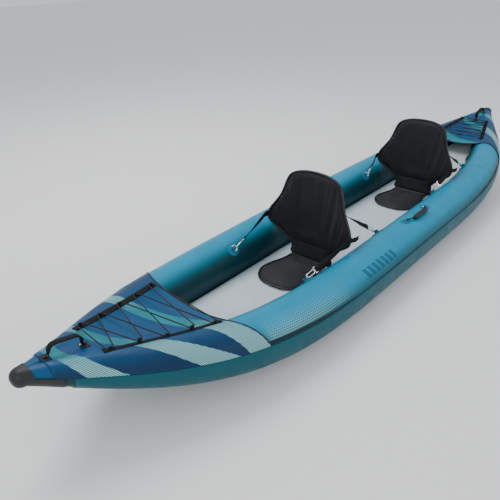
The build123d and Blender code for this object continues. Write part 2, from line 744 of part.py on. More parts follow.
def backrest(shift):
    """Padded back: a flat foot on its hinge roll, and a bent upper part with wings."""
    half = [(BACK_FOOT_HALF, 0), (BACK_WAIST[1], BACK_WAIST[0])]
    half += [(BACK_WING[1], BACK_WING[0]), (BACK_WING[1], BACK_WING_TOP)]
    half += [(BACK_SHOULDER[1], BACK_SHOULDER[0]), (BACK_TOP_HALF, BACK_TALL)]
    points = half + [(-y, z) for y, z in reversed(half)]
    outline = make_face(Polyline(points, close=True))
    upper = outline.vertices().sort_by(Axis.Y)[2:]
    outline = fillet(upper, 26)
    block = extrude(Plane.YZ * outline, BACK_BEND, both=True)
    ring = Cylinder(BACK_BEND + BACK_THICK / 2, 3 * BACK_TALL)
    ring -= Cylinder(BACK_BEND - BACK_THICK / 2, 3 * BACK_TALL)
    bent = Pos(BACK_BEND, 0, 0) * ring
    upper_box = Pos(-100, 0, BACK_FLAT - 20) * Box(
        2 * BACK_BEND, 3 * BACK_BEND, BACK_TALL, align=(Align.CENTER, Align.CENTER, Align.MIN))
    flat = Box(BACK_THICK, 2 * BACK_FOOT_HALF + 4, BACK_FLAT, align=(Align.CENTER, Align.CENTER, Align.MIN))
    roll = Rot(90, 0, 0) * Cylinder(BACK_THICK / 2, 2 * BACK_FOOT_HALF)
    return back_place(shift) * ((block & bent & upper_box) + (block & flat) + roll)


def valve_frame(side):
    return on_tube(VALVE_X, side, VALVE_TILT)


def floor_valve_frame():
    here = floor_top(FLOOR_VALVE_X)
    slope = (floor_top(FLOOR_VALVE_X + 1) - floor_top(FLOOR_VALVE_X - 1)) / 2
    out = Vector(-slope, 0, 1).normalized()
    return Plane(origin=(FLOOR_VALVE_X, 0, here), x_dir=(1, 0, slope), z_dir=out)


def valve_body(frame, surface):
    body = Pos(0, 0, -1) * Cylinder(VALVE_FLANGE, 2 * VALVE_RISE + 2)
    body = frame * body - surface
    neck = Pos(0, 0, (NECK_LOW + 2) / 2) * Cylinder(VALVE_NECK, 2 - NECK_LOW)
    neck += Pos(0, 0, -13) * Cylinder(24, 3.5)
    body += frame * neck
    bore = Cylinder(VALVE_BORE, 2 * VALVE_RISE)
    chamber_mid = (CHAMBER_TOP + CHAMBER_LOW) / 2
    bore += Pos(0, 0, chamber_mid) * Cylinder(13, CHAMBER_TOP - CHAMBER_LOW)
    bore += Pos(0, 0, NECK_LOW) * Cylinder(PIN_HOLE, 20)
    for turn in range(0, 360, 60):
        bore += Rot(0, 0, turn) * Pos(8, 0, NECK_LOW) * Cylinder(2.5, 20)
    body -= frame * bore
    for side in (-1, 1):
        middle = side * sum(EAR_Y) / 2
        ear = Box(5, EAR_Y[1] - EAR_Y[0], HINGE_UP - 3.0, align=(Align.CENTER, Align.CENTER, Align.MIN))
        ear = Pos(-HINGE_OUT, middle, 4.5) * ear
        ear -= Pos(-HINGE_OUT, middle, HINGE_UP) * Rot(90, 0, 0) * Cylinder(1.35, 10)
        body += frame * ear
    return body


def valve_plunger(frame):
    top = CHAMBER_TOP - CLEAR
    low = top - DISC_DROP
    disc = Pos(0, 0, low - 1) * Cylinder(11.8, 2)
    rim = Pos(0, 0, top - DISC_DROP / 2) * (Cylinder(11.8, DISC_DROP) - Cylinder(10.6, DISC_DROP))
    stem = Pos(0, 0, (low + NECK_LOW - 3) / 2) * Cylinder(PIN, low - NECK_LOW + 3)
    return frame * (disc + rim + stem)


def valve_cap(frame):
    lid = Pos(0, 0, VALVE_RISE + CLEAR + 1.5) * Cylinder(14.5, 3)
    arm = Pos(-16, 0, VALVE_RISE + CLEAR + 1.5) * Box(8, 2 * EAR_Y[0] - 1.2, 3)
    knuckle = Pos(-HINGE_OUT, 0, HINGE_UP) * Rot(90, 0, 0)
    arm += knuckle * Cylinder(2.0, 2 * EAR_Y[0] - 1.2)
    arm += knuckle * Cylinder(1.3, 2 * EAR_Y[1] - 0.6)
    tab = Pos(16, 0, VALVE_RISE + CLEAR + 1.5) * Box(6, 8, 2)
    return frame * (lid + arm + tab)


def fin_box():
    """Slotted box welded under the stern, for a removable fin."""
    low, high = FIN_BOX_X - FIN_BOX[0] / 2, FIN_BOX_X + FIN_BOX[0] / 2
    inner = [x for x in STATIONS if low < x < high]
    top = [(x, floor_top(x) - FLOOR_DEPTH - 2 * CLEAR - SKIN_WALL) for x in [low] + inner + [high]]
    deep = 12.0
    bottom = [(x, z - FIN_BOX[2]) for x, z in reversed(top)]
    plate = extrude(Plane.XZ * make_face(Polyline(top + bottom, close=True)), FIN_BOX[1], both=True)
    rails = [(x, z - deep) for x, z in reversed(top)]
    rail = extrude(Plane.XZ * make_face(Polyline(top + rails, close=True)), FIN_BOX[1] / 2, both=True)
    slot = Pos(FIN_BOX_X, 0, 0) * Box(FIN_SLOT[0], FIN_SLOT[1], 300)
    groove = Pos(FIN_BOX_X, 0, 0) * Box(FIN_SLOT[0], 20, 300)
    groove &= extrude(Plane.XZ * make_face(Polyline(groove_outline(top), close=True)), 60, both=True)
    return plate + rail - slot - groove


def groove_outline(top):
    return [(x, z - 5) for x, z in top] + [(x, z - 9) for x, z in reversed(top)]


def seats():
    for name, shift in SEATS.items():
        put(f"{name}_seat_pad", seat_pad(shift))
        put(f"{name}_backrest", backrest(shift))
        locks = []
        hooks = []
        for side_name, side in SIDES.items():
            for which, end_name in enumerate(("front", "rear")):
                bar, end, place = strap_pair(shift, side, which)
                locks.append(lock_plate(place))
                hook = hook_place(bar, end)
                hooks.append(hook * hook_body())
                put(f"{name}_seat_{side_name}_{end_name}_gate", hook * gate_bar())
                put(f"{name}_seat_{side_name}_{end_name}_strap", strap(bar, end, place))
                pivot = (hook * Pos(GATE_START, 0, HOOK_HALF)).position
                print("gate", name, side_name, end_name, pivot, hook.y_dir)
        put(f"{name}_seat_ladder_locks", *locks)
        put(f"{name}_seat_snap_hooks", *hooks)
        print("recline", name, seat_pivot(shift))


def rings():
    patches, loose = [], []
    for shift in SEATS.values():
        for side in SIDES.values():
            for which in (0, 1):
                bar, end, place = strap_pair(shift, side, which)
                x = RING_X[0 if shift == 0 else 1][which]
                patches.append(d_ring_patch(x, side, bar))
                loose.append(d_ring(bar, end))
    put("d_ring_patches", *patches)
    put("d_rings", *loose)


def valves():
    places = {"floor": (floor_valve_frame(), floor_body(CLEAR, FLOOR_VALVE_X - 40, FLOOR_VALVE_X + 40))}
    for name, side in SIDES.items():
        places[name] = (valve_frame(side), tube(side, CLEAR, VALVE_X - 40, VALVE_X + 40))
    for name, (frame, surface) in places.items():
        put(f"{name}_valve_body", valve_body(frame, surface))
        put(f"{name}_valve_plunger", valve_plunger(frame))
        put(f"{name}_valve_cap", valve_cap(frame))
        hinge = (frame * Pos(-HINGE_OUT, 0, HINGE_UP)).position
        print("valve", name, frame.origin, frame.z_dir, "hinge", hinge, frame.y_dir)


def ends():
    for name, way in {"bow": 1, "stern": -1}.items():
        put(f"{name}_deck", deck(BOW_DECK_EDGE if way > 0 else STERN_DECK_EDGE))
        put(f"{name}_nose_cap", nose_cap(way))
        put(f"{name}_deck_webbing", *deck_webbing(way))
        put(f"{name}_bungee", bungee(way))
        put(f"{name}_handle_anchors", *grab_anchors(way))
        put(f"{name}_grab_handle", grab_handle(way))
        line, long = grab_line(way)
        print("grab", name, line.origin, line.x_dir)


def main():
    os.makedirs("parts", exist_ok=True)
    side_tubes()
    put("bottom_skin", bottom_skin())
    put("floor_panel", floor_panel())
    ends()
    put("stern_cord_lock", cord_lock(-1))
    put("carry_handle_anchors", *carry_anchors(1), *carry_anchors(-1))
    for name, side in SIDES.items():
        put(f"{name}_carry_handle", carry_handle(side))
        print("carry", name, carry_line(side).origin)
    rings()
    valves()
    put("fin_box", fin_box())
    seats()


main()
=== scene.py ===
# %% [markdown]
# # Inflatable tandem kayak
# The hull, seats and straps are built from the same driving sizes as the solid model, in metres:
# +X to the bow, +Y to port, +Z up, z = 0 under the hull.
# %% Frame and libraries
import math

import bmesh
import bpy
from mathutils import Matrix, Vector, noise


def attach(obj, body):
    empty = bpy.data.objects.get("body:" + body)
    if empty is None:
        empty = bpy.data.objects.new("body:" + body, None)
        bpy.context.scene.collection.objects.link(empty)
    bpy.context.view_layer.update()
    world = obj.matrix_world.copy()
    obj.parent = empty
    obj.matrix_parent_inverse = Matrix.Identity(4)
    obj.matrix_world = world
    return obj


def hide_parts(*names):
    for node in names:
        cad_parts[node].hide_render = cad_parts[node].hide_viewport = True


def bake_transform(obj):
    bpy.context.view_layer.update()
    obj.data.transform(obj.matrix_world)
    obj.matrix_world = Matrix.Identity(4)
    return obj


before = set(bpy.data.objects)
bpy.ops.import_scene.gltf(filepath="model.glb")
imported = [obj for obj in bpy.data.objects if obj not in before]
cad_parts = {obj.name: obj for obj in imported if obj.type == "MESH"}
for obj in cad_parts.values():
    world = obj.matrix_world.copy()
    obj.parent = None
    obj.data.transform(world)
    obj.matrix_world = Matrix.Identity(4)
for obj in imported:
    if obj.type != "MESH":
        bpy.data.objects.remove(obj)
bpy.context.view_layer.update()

# %% [markdown]
# ## Driving sizes
# These are the hull's own lines: how far the side tubes stand apart, how thick they are and how
# the bottom rises. Everything that lies on the hull takes its place from them.
# %% Sizes
HALF_LENGTH = 2.05
TUBE_SPREAD, MID_RADIUS, TIP_RADIUS = 0.336, 0.1255, 0.022
ROCKER_RISE, ROCKER_START = 0.362, 0.25
CLEAR, SKIN = 0.0003, 0.003
CHINE_ANGLE, SKIN_END = 18.0, 1.890
FLOOR_DEPTH, FLOOR_END = 0.076, 1.640
DECK_LEAN, DECK_SWEEP, DECK_END = 18.0, 0.095, 1.940
DECK_EDGE = {1: 1.300, -1: 1.410}
TUBE_TIP = 2.015
CAP_TOP, CAP_BOTTOM = 0.060, 0.135
WEBBING_WIDTH, WEBBING = 0.025, 0.002


def share(x):
    return min(abs(x) / HALF_LENGTH, 1)


def spread(x):
    return TUBE_SPREAD * (1 - share(x) ** 4.5) ** 1.75


def radius(x):
    return TIP_RADIUS + (MID_RADIUS - TIP_RADIUS) * (1 - share(x) ** 5)


def rocker(x):
    return ROCKER_RISE * (max(share(x) - ROCKER_START, 0) / (1 - ROCKER_START)) ** 2.77


def height(x):
    return rocker(x) + SKIN + CLEAR + radius(x)


def chine(x):
    return math.radians(CHINE_ANGLE * (1 - share(x) ** 6))


def smooth(low, high, value):
    """0 below low, 1 above high, and an even curve between."""
    t = min(max((value - low) / (high - low), 0), 1)
    return t * t * (3 - 2 * t)


def mix(a, b, t):
    return a + (b - a) * t


# %% [markdown]
# ## Mesh helpers
# A skin is a grid of points, with named values on its points that the materials read.
# A ribbon is a flat strap that follows a list of places and width directions.
# %% Mesh helpers
def new_object(name, points, faces, material=None, values=None):
    """A smooth-shaded mesh; values is {attribute name: one number per point}."""
    mesh = bpy.data.meshes.new(name)
    mesh.from_pydata([tuple(p) for p in points], [], faces)
    mesh.update()
    for key, numbers in (values or {}).items():
        layer = mesh.attributes.new(key, "FLOAT", "POINT")
        layer.data.foreach_set("value", numbers)
    for polygon in mesh.polygons:
        polygon.use_smooth = True
    obj = bpy.data.objects.new(name, mesh)
    bpy.context.collection.objects.link(obj)
    if material:
        mesh.materials.append(material)
    return obj


def grid(rows, columns, place, loop=False):
    """Points and faces of a grid; place(i, j) gives a point."""
    points = [place(i, j) for i in range(rows) for j in range(columns)]
    faces = []
    last = columns if loop else columns - 1
    for i in range(rows - 1):
        for j in range(last):
            k = (j + 1) % columns
            a, b = i * columns + j, i * columns + k
            faces.append((a, b, b + columns, a + columns))
    return points, faces


def apply_modifiers(obj):
    """Turn an object with live modifiers into a plain mesh."""
    graph = bpy.context.evaluated_depsgraph_get()
    mesh = bpy.data.meshes.new_from_object(obj.evaluated_get(graph))
    obj.modifiers.clear()
    old = obj.data
    obj.data = mesh
    if old.users == 0 and isinstance(old, bpy.types.Mesh):
        bpy.data.meshes.remove(old)


def fatten(obj, thick, offset=-1.0):
    """Give a sheet its thickness."""
    change = obj.modifiers.new("thickness", "SOLIDIFY")
    change.thickness = thick
    change.offset = offset
    apply_modifiers(obj)


def face_out(obj, flip=False):
    """Make a skin's normals agree."""
    work = bmesh.new()
    work.from_mesh(obj.data)
    bmesh.ops.recalc_face_normals(work, faces=work.faces)
    if flip:
        bmesh.ops.reverse_faces(work, faces=work.faces)
    work.to_mesh(obj.data)
    work.free()


def ribbon(name, places, wides, width, thick, material):
    """A strap with softened edges along places, its width along wides."""
    outline = [(-0.5, -0.22), (-0.47, -0.5), (0.47, -0.5), (0.5, -0.22), (0.5, 0.22), (0.47, 0.5)]
    outline += [(-0.47, 0.5), (-0.5, 0.22)]
    points, faces, along_values, across_values = [], [], [], []
    travelled = 0.0
    for index, place in enumerate(places):
        before = places[max(index - 1, 0)]
        after = places[min(index + 1, len(places) - 1)]
        along = (after - before).normalized()
        wide = (wides[index] - along * wides[index].dot(along)).normalized()
        out = along.cross(wide)
        if index:
            travelled += (place - places[index - 1]).length
        for w, t in outline:
            points.append(place + wide * w * width + out * t * thick)
            along_values.append(travelled)
            across_values.append(w * width)
    count = len(outline)
    for i in range(len(places) - 1):
        for j in range(count):
            k = (j + 1) % count
            faces.append((i * count + j, i * count + k, (i + 1) * count + k, (i + 1) * count + j))
    faces.append(tuple(reversed(range(count))))
    faces.append(tuple(range((len(places) - 1) * count, len(places) * count)))
    return new_object(name, points, faces, material, {"along": along_values, "across": across_values})


def curve_points(corners, steps):
    """Points on a smooth curve through corners, Catmull-Rom."""
    ends = [corners[0] * 2 - corners[1]] + list(corners) + [corners[-1] * 2 - corners[-2]]
    out = []
    for i in range(1, len(ends) - 2):
        p0, p1, p2, p3 = ends[i - 1:i + 3]
        for s in range(steps):
            t = s / steps
            a = p1 * 2
            b = (p2 - p0) * t
            c = (p0 * 2 - p1 * 5 + p2 * 4 - p3) * t * t
            d = (p1 * 3 - p0 - p2 * 3 + p3) * t * t * t
            out.append((a + b + c + d) * 0.5)
    out.append(ends[-2].copy())
    return out


def tube_along(name, points, ring, material, closed=False, sides=12):
    """A round cord or piping through points."""
    rows = []
    count = len(points)
    side = None
    for index, point in enumerate(points):
        if closed:
            along = points[(index + 1) % count] - points[index - 1]
        else:
            along = points[min(index + 1, count - 1)] - points[max(index - 1, 0)]
        along.normalize()
        if side is None:
            side = along.orthogonal().normalized()
        side = (side - along * side.dot(along)).normalized()
        up = along.cross(side)
        row = []
        for j in range(sides):
            a = math.tau * j / sides
            row.append(point + (side * math.cos(a) + up * math.sin(a)) * ring)
        rows.append(row)
    flat = [p for row in rows for p in row]
    travelled, lengths = 0.0, []
    for index, point in enumerate(points):
        travelled += (point - points[index - 1]).length if index else 0
        lengths += [travelled] * sides
    around = [j / sides for _ in points for j in range(sides)]
    faces = []
    for i in range(count if closed else count - 1):
        n = (i + 1) % count
        for j in range(sides):
            k = (j + 1) % sides
            faces.append((i * sides + j, i * sides + k, n * sides + k, n * sides + j))
    if not closed:
        faces.append(tuple(reversed(range(sides))))
        faces.append(tuple(range((count - 1) * sides, count * sides)))
    return new_object(name, flat, faces, material, {"along": lengths, "around": around})


# %% [markdown]
# ## Materials
# A small graph builder keeps each material short. Shared effects are node groups: a woven
# thread bump, slow wrinkles, hatching and dots.
# %% Material helpers
def linear(red, green, blue):
    """A colour given as it looks on a screen, 0 to 255, as the renderer wants it."""
    def one(v):
        v /= 255
        return v / 12.92 if v <= 0.04045 else ((v + 0.055) / 1.055) ** 2.4
    return (one(red), one(green), one(blue), 1.0)


class Graph:
    """Adds nodes to a tree and joins them, so that a material reads from top to bottom."""

    def __init__(self, tree):
        self.tree = tree

    def add(self, kind, settings=None, **inputs):
        node = self.tree.nodes.new(kind)
        for key, value in (settings or {}).items():
            setattr(node, key, value)
        for key, value in inputs.items():
            self.join(value, node.inputs[key.replace("_", " ")])
        return node

    def join(self, value, socket):
        if isinstance(value, bpy.types.NodeSocket):
            self.tree.links.new(value, socket)
        else:
            socket.default_value = value

    def math(self, operation, *values, clamp=False):
        node = self.tree.nodes.new("ShaderNodeMath")
        node.operation = operation
        node.use_clamp = clamp
        for value, socket in zip(values, node.inputs):
            self.join(value, socket)
        return node.outputs[0]

    def range(self, value, low, high, to_low=0.0, to_high=1.0):
        """Smooth step from low to high."""
        node = self.tree.nodes.new("ShaderNodeMapRange")
        node.interpolation_type = "SMOOTHSTEP"
        for item, socket in zip((value, low, high, to_low, to_high), node.inputs):
            self.join(item, socket)
        return node.outputs[0]

    def between(self, value, low, high, soft=0.001):
        """1 between low and high, 0 outside."""
        up = self.range(value, low - soft, low + soft)
        down = self.range(value, high - soft, high + soft, 1.0, 0.0)
        return self.math("MULTIPLY", up, down)

    def mix(self, factor, first, second):
        node = self.tree.nodes.new("ShaderNodeMix")
        node.data_type = "RGBA"
        node.clamp_factor = True
        self.join(factor, node.inputs["Factor"])
        self.join(first, node.inputs[6])
        self.join(second, node.inputs[7])
        return node.outputs[2]

    def attribute(self, name):
        node = self.tree.nodes.new("ShaderNodeAttribute")
        node.attribute_name = name
        return node.outputs["Fac"]

    def place(self):
        """Object coordinates as separate x, y, z and the vector."""
        coords = self.tree.nodes.new("ShaderNodeTexCoord").outputs["Object"]
        split = self.add("ShaderNodeSeparateXYZ", Vector=coords)
        return coords, split.outputs[0], split.outputs[1], split.outputs[2]

    def combine(self, x, y, z):
        return self.add("ShaderNodeCombineXYZ", X=x, Y=y, Z=z).outputs[0]

    def noise(self, vector, scale, detail=3.0, rough=0.5):
        node = self.add("ShaderNodeTexNoise", Vector=vector, Scale=scale, Detail=detail, Roughness=rough)
        return node.outputs["Fac"]

    def group(self, tree, **inputs):
        node = self.tree.nodes.new("ShaderNodeGroup")
        node.node_tree = tree
        for key, value in inputs.items():
            self.join(value, node.inputs[key])
        return node


def start_group(name, inputs, outputs):
    tree = bpy.data.node_groups.new(name, "ShaderNodeTree")
    for label, kind, value in inputs:
        socket = tree.interface.new_socket(name=label, in_out="INPUT", socket_type=kind)
        socket.default_value = value
    for label, kind in outputs:
        tree.interface.new_socket(name=label, in_out="OUTPUT", socket_type=kind)
    graph = Graph(tree)
    return graph, tree.nodes.new("NodeGroupInput").outputs, tree.nodes.new("NodeGroupOutput").inputs


def thread_group():
    """Plain weave: threads over and under each other, as a height."""
    inputs = [("Vector", "NodeSocketVector", (0, 0, 0)), ("Pitch", "NodeSocketFloat", 0.0008)]
    graph, given, result = start_group("Weave", inputs, [("Height", "NodeSocketFloat")])
    split = graph.add("ShaderNodeSeparateXYZ", Vector=given["Vector"])
    waves = []
    for axis in (0, 1):
        turns = graph.math("DIVIDE", split.outputs[axis], given["Pitch"])
        waves.append(graph.math("SINE", graph.math("MULTIPLY", turns, math.pi)))
    both = graph.math("MULTIPLY", waves[0], waves[1])
    graph.join(graph.math("MULTIPLY_ADD", both, 0.5, 0.5), result["Height"])
    return graph.tree


def wrinkle_group():
    """Slow creases, stretched by the vector that comes in."""
    inputs = [("Vector", "NodeSocketVector", (0, 0, 0)), ("Scale", "NodeSocketFloat", 8.0)]
    graph, given, result = start_group("Wrinkles", inputs, [("Height", "NodeSocketFloat")])
    broad = graph.noise(given["Vector"], given["Scale"], 2.0)
    fine = graph.noise(given["Vector"], graph.math("MULTIPLY", given["Scale"], 3.7), 3.0, 0.6)
    graph.join(graph.math("MULTIPLY_ADD", fine, 0.35, broad), result["Height"])
    return graph.tree


def hatch_group():
    """Fine slanted lines whose weight follows a fade value from 0 to 1."""
    inputs = [("Along", "NodeSocketFloat", 0.0), ("Across", "NodeSocketFloat", 0.0)]
    inputs += [("Pitch", "NodeSocketFloat", 0.008), ("Fade", "NodeSocketFloat", 0.5)]
    graph, given, result = start_group("Hatch", inputs, [("Mask", "NodeSocketFloat")])
    slant = graph.math("MULTIPLY_ADD", given["Across"], 0.9, given["Along"])
    saw = graph.math("PINGPONG", graph.math("DIVIDE", slant, given["Pitch"]), 0.5)
    weight = graph.math("MULTIPLY", given["Fade"], 0.27)
    low = graph.math("SUBTRACT", weight, 0.03)
    high = graph.math("ADD", weight, 0.03)
    graph.join(graph.range(saw, low, high, 1.0, 0.0), result["Mask"])
    return graph.tree


def dots_group():
    """Rows of round dots, each row shifted by half a pitch; Size from 0 to 1."""
    inputs = [("Along", "NodeSocketFloat", 0.0), ("Across", "NodeSocketFloat", 0.0)]
    inputs += [("Pitch", "NodeSocketFloat", 0.010), ("Size", "NodeSocketFloat", 0.5)]
    graph, given, result = start_group("Dots", inputs, [("Mask", "NodeSocketFloat")])
    row = graph.math("DIVIDE", given["Across"], given["Pitch"])
    shift = graph.math("MULTIPLY", graph.math("MODULO", graph.math("FLOOR", row), 2.0), 0.5)
    column = graph.math("ADD", graph.math("DIVIDE", given["Along"], given["Pitch"]), shift)
    dx = graph.math("SUBTRACT", graph.math("FRACT", column), 0.5)
    dy = graph.math("SUBTRACT", graph.math("FRACT", row), 0.5)
    squares = graph.math("ADD", graph.math("MULTIPLY", dx, dx), graph.math("MULTIPLY", dy, dy))
    far = graph.math("SQRT", squares)
    ring = graph.math("MULTIPLY", given["Size"], 0.42)
    mask = graph.range(far, graph.math("SUBTRACT", ring, 0.05), graph.math("ADD", ring, 0.05), 1.0, 0.0)
    graph.join(mask, result["Mask"])
    return graph.tree


WEAVE, WRINKLES, HATCH, DOTS = thread_group(), wrinkle_group(), hatch_group(), dots_group()


def new_material(name):
    material = bpy.data.materials.new(name)
    material.use_nodes = True
    tree = material.node_tree
    tree.nodes.clear()
    graph = Graph(tree)
    shader = graph.add("ShaderNodeBsdfPrincipled")
    output = graph.add("ShaderNodeOutputMaterial")
    tree.links.new(shader.outputs[0], output.inputs[0])
    return material, graph, shader


def bump(graph, shader, *layers):
    """Stack height layers, each (height, distance in metres, strength), into the normal."""
    normal = None
    for height_value, distance, strength in layers:
        node = graph.add("ShaderNodeBump", Height=height_value, Distance=distance, Strength=strength)
        if normal is not None:
            graph.join(normal, node.inputs["Normal"])
        normal = node.outputs[0]
    graph.join(normal, shader.inputs["Normal"])


def vary(graph, colour, vector, scale, amount):
    """The colour, a little lighter and darker from place to place."""
    value = graph.range(graph.noise(vector, scale, 4.0, 0.6), 0.3, 0.7, 1 - amount, 1 + amount)
    node = graph.add("ShaderNodeHueSaturation", Color=colour, Value=value)
    return node.outputs[0]


# %% [markdown]
# ## Printed hull cloth
# The print is worked out on the surface: `around` is the angle on the tube in degrees, 0 on the
# inboard side, 90 on the crown and 180 outboard; `across` runs over a deck from -1 at the
# starboard chine to 1 at the port chine, and `side` is the distance along it in metres.
# %% Hull materials
CYAN, TEAL, DEEP_TEAL = linear(0, 134, 170), linear(0, 98, 118), linear(0, 50, 60)
BAND_TEAL, DEEP_BLUE, NAVY = linear(10, 124, 140), linear(0, 74, 118), linear(0, 42, 76)
PRINT_WHITE, LOWER = linear(160, 214, 212), linear(0, 78, 90)


def cloth_finish(graph, shader, colour, vector, rough=0.42, wrinkle=0.0015):
    graph.join(vary(graph, colour, vector, 6.0, 0.05), shader.inputs["Base Color"])
    weave = graph.group(WEAVE, Vector=vector, Pitch=0.0009).outputs[0]
    crease = graph.group(WRINKLES, Vector=vector, Scale=5.0).outputs[0]
    dull = graph.noise(vector, 22.0, 3.0)
    graph.join(graph.range(dull, 0.3, 0.7, rough - 0.06, rough + 0.08), shader.inputs["Roughness"])
    shader.inputs["Specular IOR Level"].default_value = 0.25
    bump(graph, shader, (crease, wrinkle, 0.5), (weave, 0.00012, 0.35))


def tube_material(name, side):
    """Cyan on the crown, darker down both flanks, partly a printed gradient and partly painted shade, with
    the printed dots on the outer side.
    """
    material, graph, shader = new_material(name)
    vector, x = graph.place()[:2]
    around = graph.attribute("around")
    # Painted shade over a printed gradient: the tube is brightest on its crown and darkest low on its
    # inboard and outboard flanks.
    inner = graph.range(around, 20.0, 82.0, 0.0, 1.0)
    outer = graph.range(around, 118.0, 176.0, 1.0, 0.0)
    light = graph.math("MULTIPLY", inner, outer)
    base = graph.mix(graph.range(light, 0.0, 0.5), DEEP_TEAL, TEAL)
    base = graph.mix(graph.range(light, 0.35, 1.0), base, CYAN)
    arc = graph.math("MULTIPLY", around, 0.0022)
    zone = graph.math("MULTIPLY", graph.range(x, 0.62, 0.80), graph.range(x, 1.20, 1.24, 1.0, 0.0))
    zone = graph.math("MULTIPLY", zone, graph.range(around, 98.0, 112.0))
    zone = graph.math("MULTIPLY", zone, graph.range(around, 150.0, 156.0, 1.0, 0.0))
    grow = graph.range(around, 100.0, 150.0, 0.35, 0.95)
    grow = graph.math("MULTIPLY", grow, graph.range(x, 0.6, 1.0, 0.5, 1.0))
    dots = graph.group(DOTS, Along=x, Across=arc, Pitch=0.0105, Size=grow).outputs[0]
    base = graph.mix(graph.math("MULTIPLY", graph.math("MULTIPLY", dots, zone), 0.45), base, PRINT_WHITE)
    lean = graph.math("MULTIPLY_ADD", arc, 0.35, x)
    bars = graph.math("PINGPONG", graph.math("DIVIDE", lean, 0.040), 0.5)
    bars = graph.range(bars, 0.16, 0.18)
    area = graph.math("MULTIPLY", graph.between(x, 0.30, 0.58), graph.between(around, 122.0, 146.0, 0.5))
    base = graph.mix(graph.math("MULTIPLY", graph.math("MULTIPLY", bars, area), 0.55), base, NAVY)
    front = graph.math("MULTIPLY", graph.range(x, 0.60, 1.10), graph.range(x, 1.23, 1.24, 1.0, 0.0))
    back = graph.math("MULTIPLY", graph.range(x, -1.36, -1.35), graph.range(x, -1.1, -0.5, 1.0, 0.0))
    reach = graph.math("MULTIPLY", graph.math("MAXIMUM", front, back), 6.5)
    edge = graph.math("SUBTRACT", 160.0, reach)
    line = graph.math("MULTIPLY", graph.range(around, graph.math("SUBTRACT", edge, 0.4), edge),
                      graph.range(around, 160.5, 161.0, 1.0, 0.0))
    base = graph.mix(graph.math("MULTIPLY", line, graph.range(reach, 0.2, 0.8)), base, linear(2, 30, 40))
    tip = graph.range(graph.math("ABSOLUTE", x), 1.925, 1.930)
    base = graph.mix(tip, base, graph.mix(graph.range(around, 160.0, 166.0), DEEP_BLUE, LOWER))
    stretched = graph.combine(graph.math("MULTIPLY", x, 3.0), graph.math("MULTIPLY", around, 0.004), side)
    folds = graph.group(WRINKLES, Vector=stretched, Scale=6.0).outputs[0]
    cloth_finish(graph, shader, base, vector)
    crease = shader.inputs["Normal"].links[0].from_socket
    extra = graph.add("ShaderNodeBump", Height=folds, Distance=0.004, Normal=crease)
    graph.join(graph.range(around, 20.0, 70.0, 0.45, 0.06), extra.inputs["Strength"])
    graph.join(extra.outputs[0], shader.inputs["Normal"])
    return material


# Each light band: front edge on the centreline, its slope and curl, rear edge and its slope.
BANDS = [(1.915, 0.20, 1.30, 1.862, 0.27), (1.745, 0.50, 0.52, 1.685, 0.60),
         (1.489, 0.38, 0.05, 1.408, 0.44)]


def deck_material():
    """Deep blue with swept bands that turn from teal to white hatching towards the chines."""
    material, graph, shader = new_material("deck_print")
    vector, x = graph.place()[:2]
    across, arc = graph.attribute("across"), graph.attribute("side")
    far = graph.math("ABSOLUTE", x)
    bands = None
    for start, slope, curl, end, end_slope in BANDS:
        front = graph.math("SUBTRACT", start, graph.math("MULTIPLY", arc, slope))
        bow = graph.math("MULTIPLY", graph.math("MULTIPLY", arc, arc), curl)
        front = graph.math("SUBTRACT", front, bow)
        back = graph.math("SUBTRACT", end, graph.math("MULTIPLY", arc, end_slope))
        back = graph.math("SUBTRACT", back, bow)
        inside = graph.math("MULTIPLY", graph.range(graph.math("SUBTRACT", front, far), 0.0, 0.002),
                            graph.range(graph.math("SUBTRACT", far, back), 0.0, 0.002))
        bands = inside if bands is None else graph.math("MAXIMUM", bands, inside)
    flank = graph.range(graph.math("ABSOLUTE", across), 0.30, 1.0)
    blue = graph.mix(flank, DEEP_BLUE, NAVY)
    fade = graph.range(graph.math("ABSOLUTE", across), 0.20, 0.80, 0.0, 1.0)
    lean = graph.math("MULTIPLY_ADD", arc, 0.62, far)
    lines = graph.group(HATCH, Along=lean, Across=0.0, Pitch=0.0062, Fade=fade).outputs[0]
    light = graph.mix(fade, BAND_TEAL, linear(0, 88, 112))
    light = graph.mix(graph.math("MULTIPLY", lines, 0.85), light, PRINT_WHITE)
    colour = graph.mix(bands, blue, light)
    cloth_finish(graph, shader, colour, vector, 0.40, 0.0022)
    return material


def plain_cloth(name, colour, rough, wrinkle=0.0015):
    material, graph, shader = new_material(name)
    vector = graph.place()[0]
    cloth_finish(graph, shader, colour, vector, rough, wrinkle)
    return material


def floor_material():
    """Pale coated drop-stitch cloth: a faint grid of dimples, and painted shade that darkens it towards each
    edge.
    """
    material, graph, shader = new_material("floor_coat")
    vector, x, y = graph.place()[:3]
    pale, shade = linear(196, 210, 216), linear(158, 176, 186)
    # Painted shade: the floor gets darker towards its edges, where it meets the tubes.
    colour = graph.mix(graph.range(graph.math("ABSOLUTE", y), 0.10, 0.235), pale, shade)
    rings = graph.math("PINGPONG", graph.math("DIVIDE", x, 0.012), 0.5)
    rows = graph.math("PINGPONG", graph.math("DIVIDE", y, 0.012), 0.5)
    dimple = graph.math("MULTIPLY", rings, rows)
    graph.join(vary(graph, colour, vector, 3.0, 0.04), shader.inputs["Base Color"])
    shader.inputs["Roughness"].default_value = 0.55
    weave = graph.group(WEAVE, Vector=vector, Pitch=0.0012).outputs[0]
    bump(graph, shader, (dimple, 0.0012, 0.25), (weave, 0.0002, 0.3))
    return material


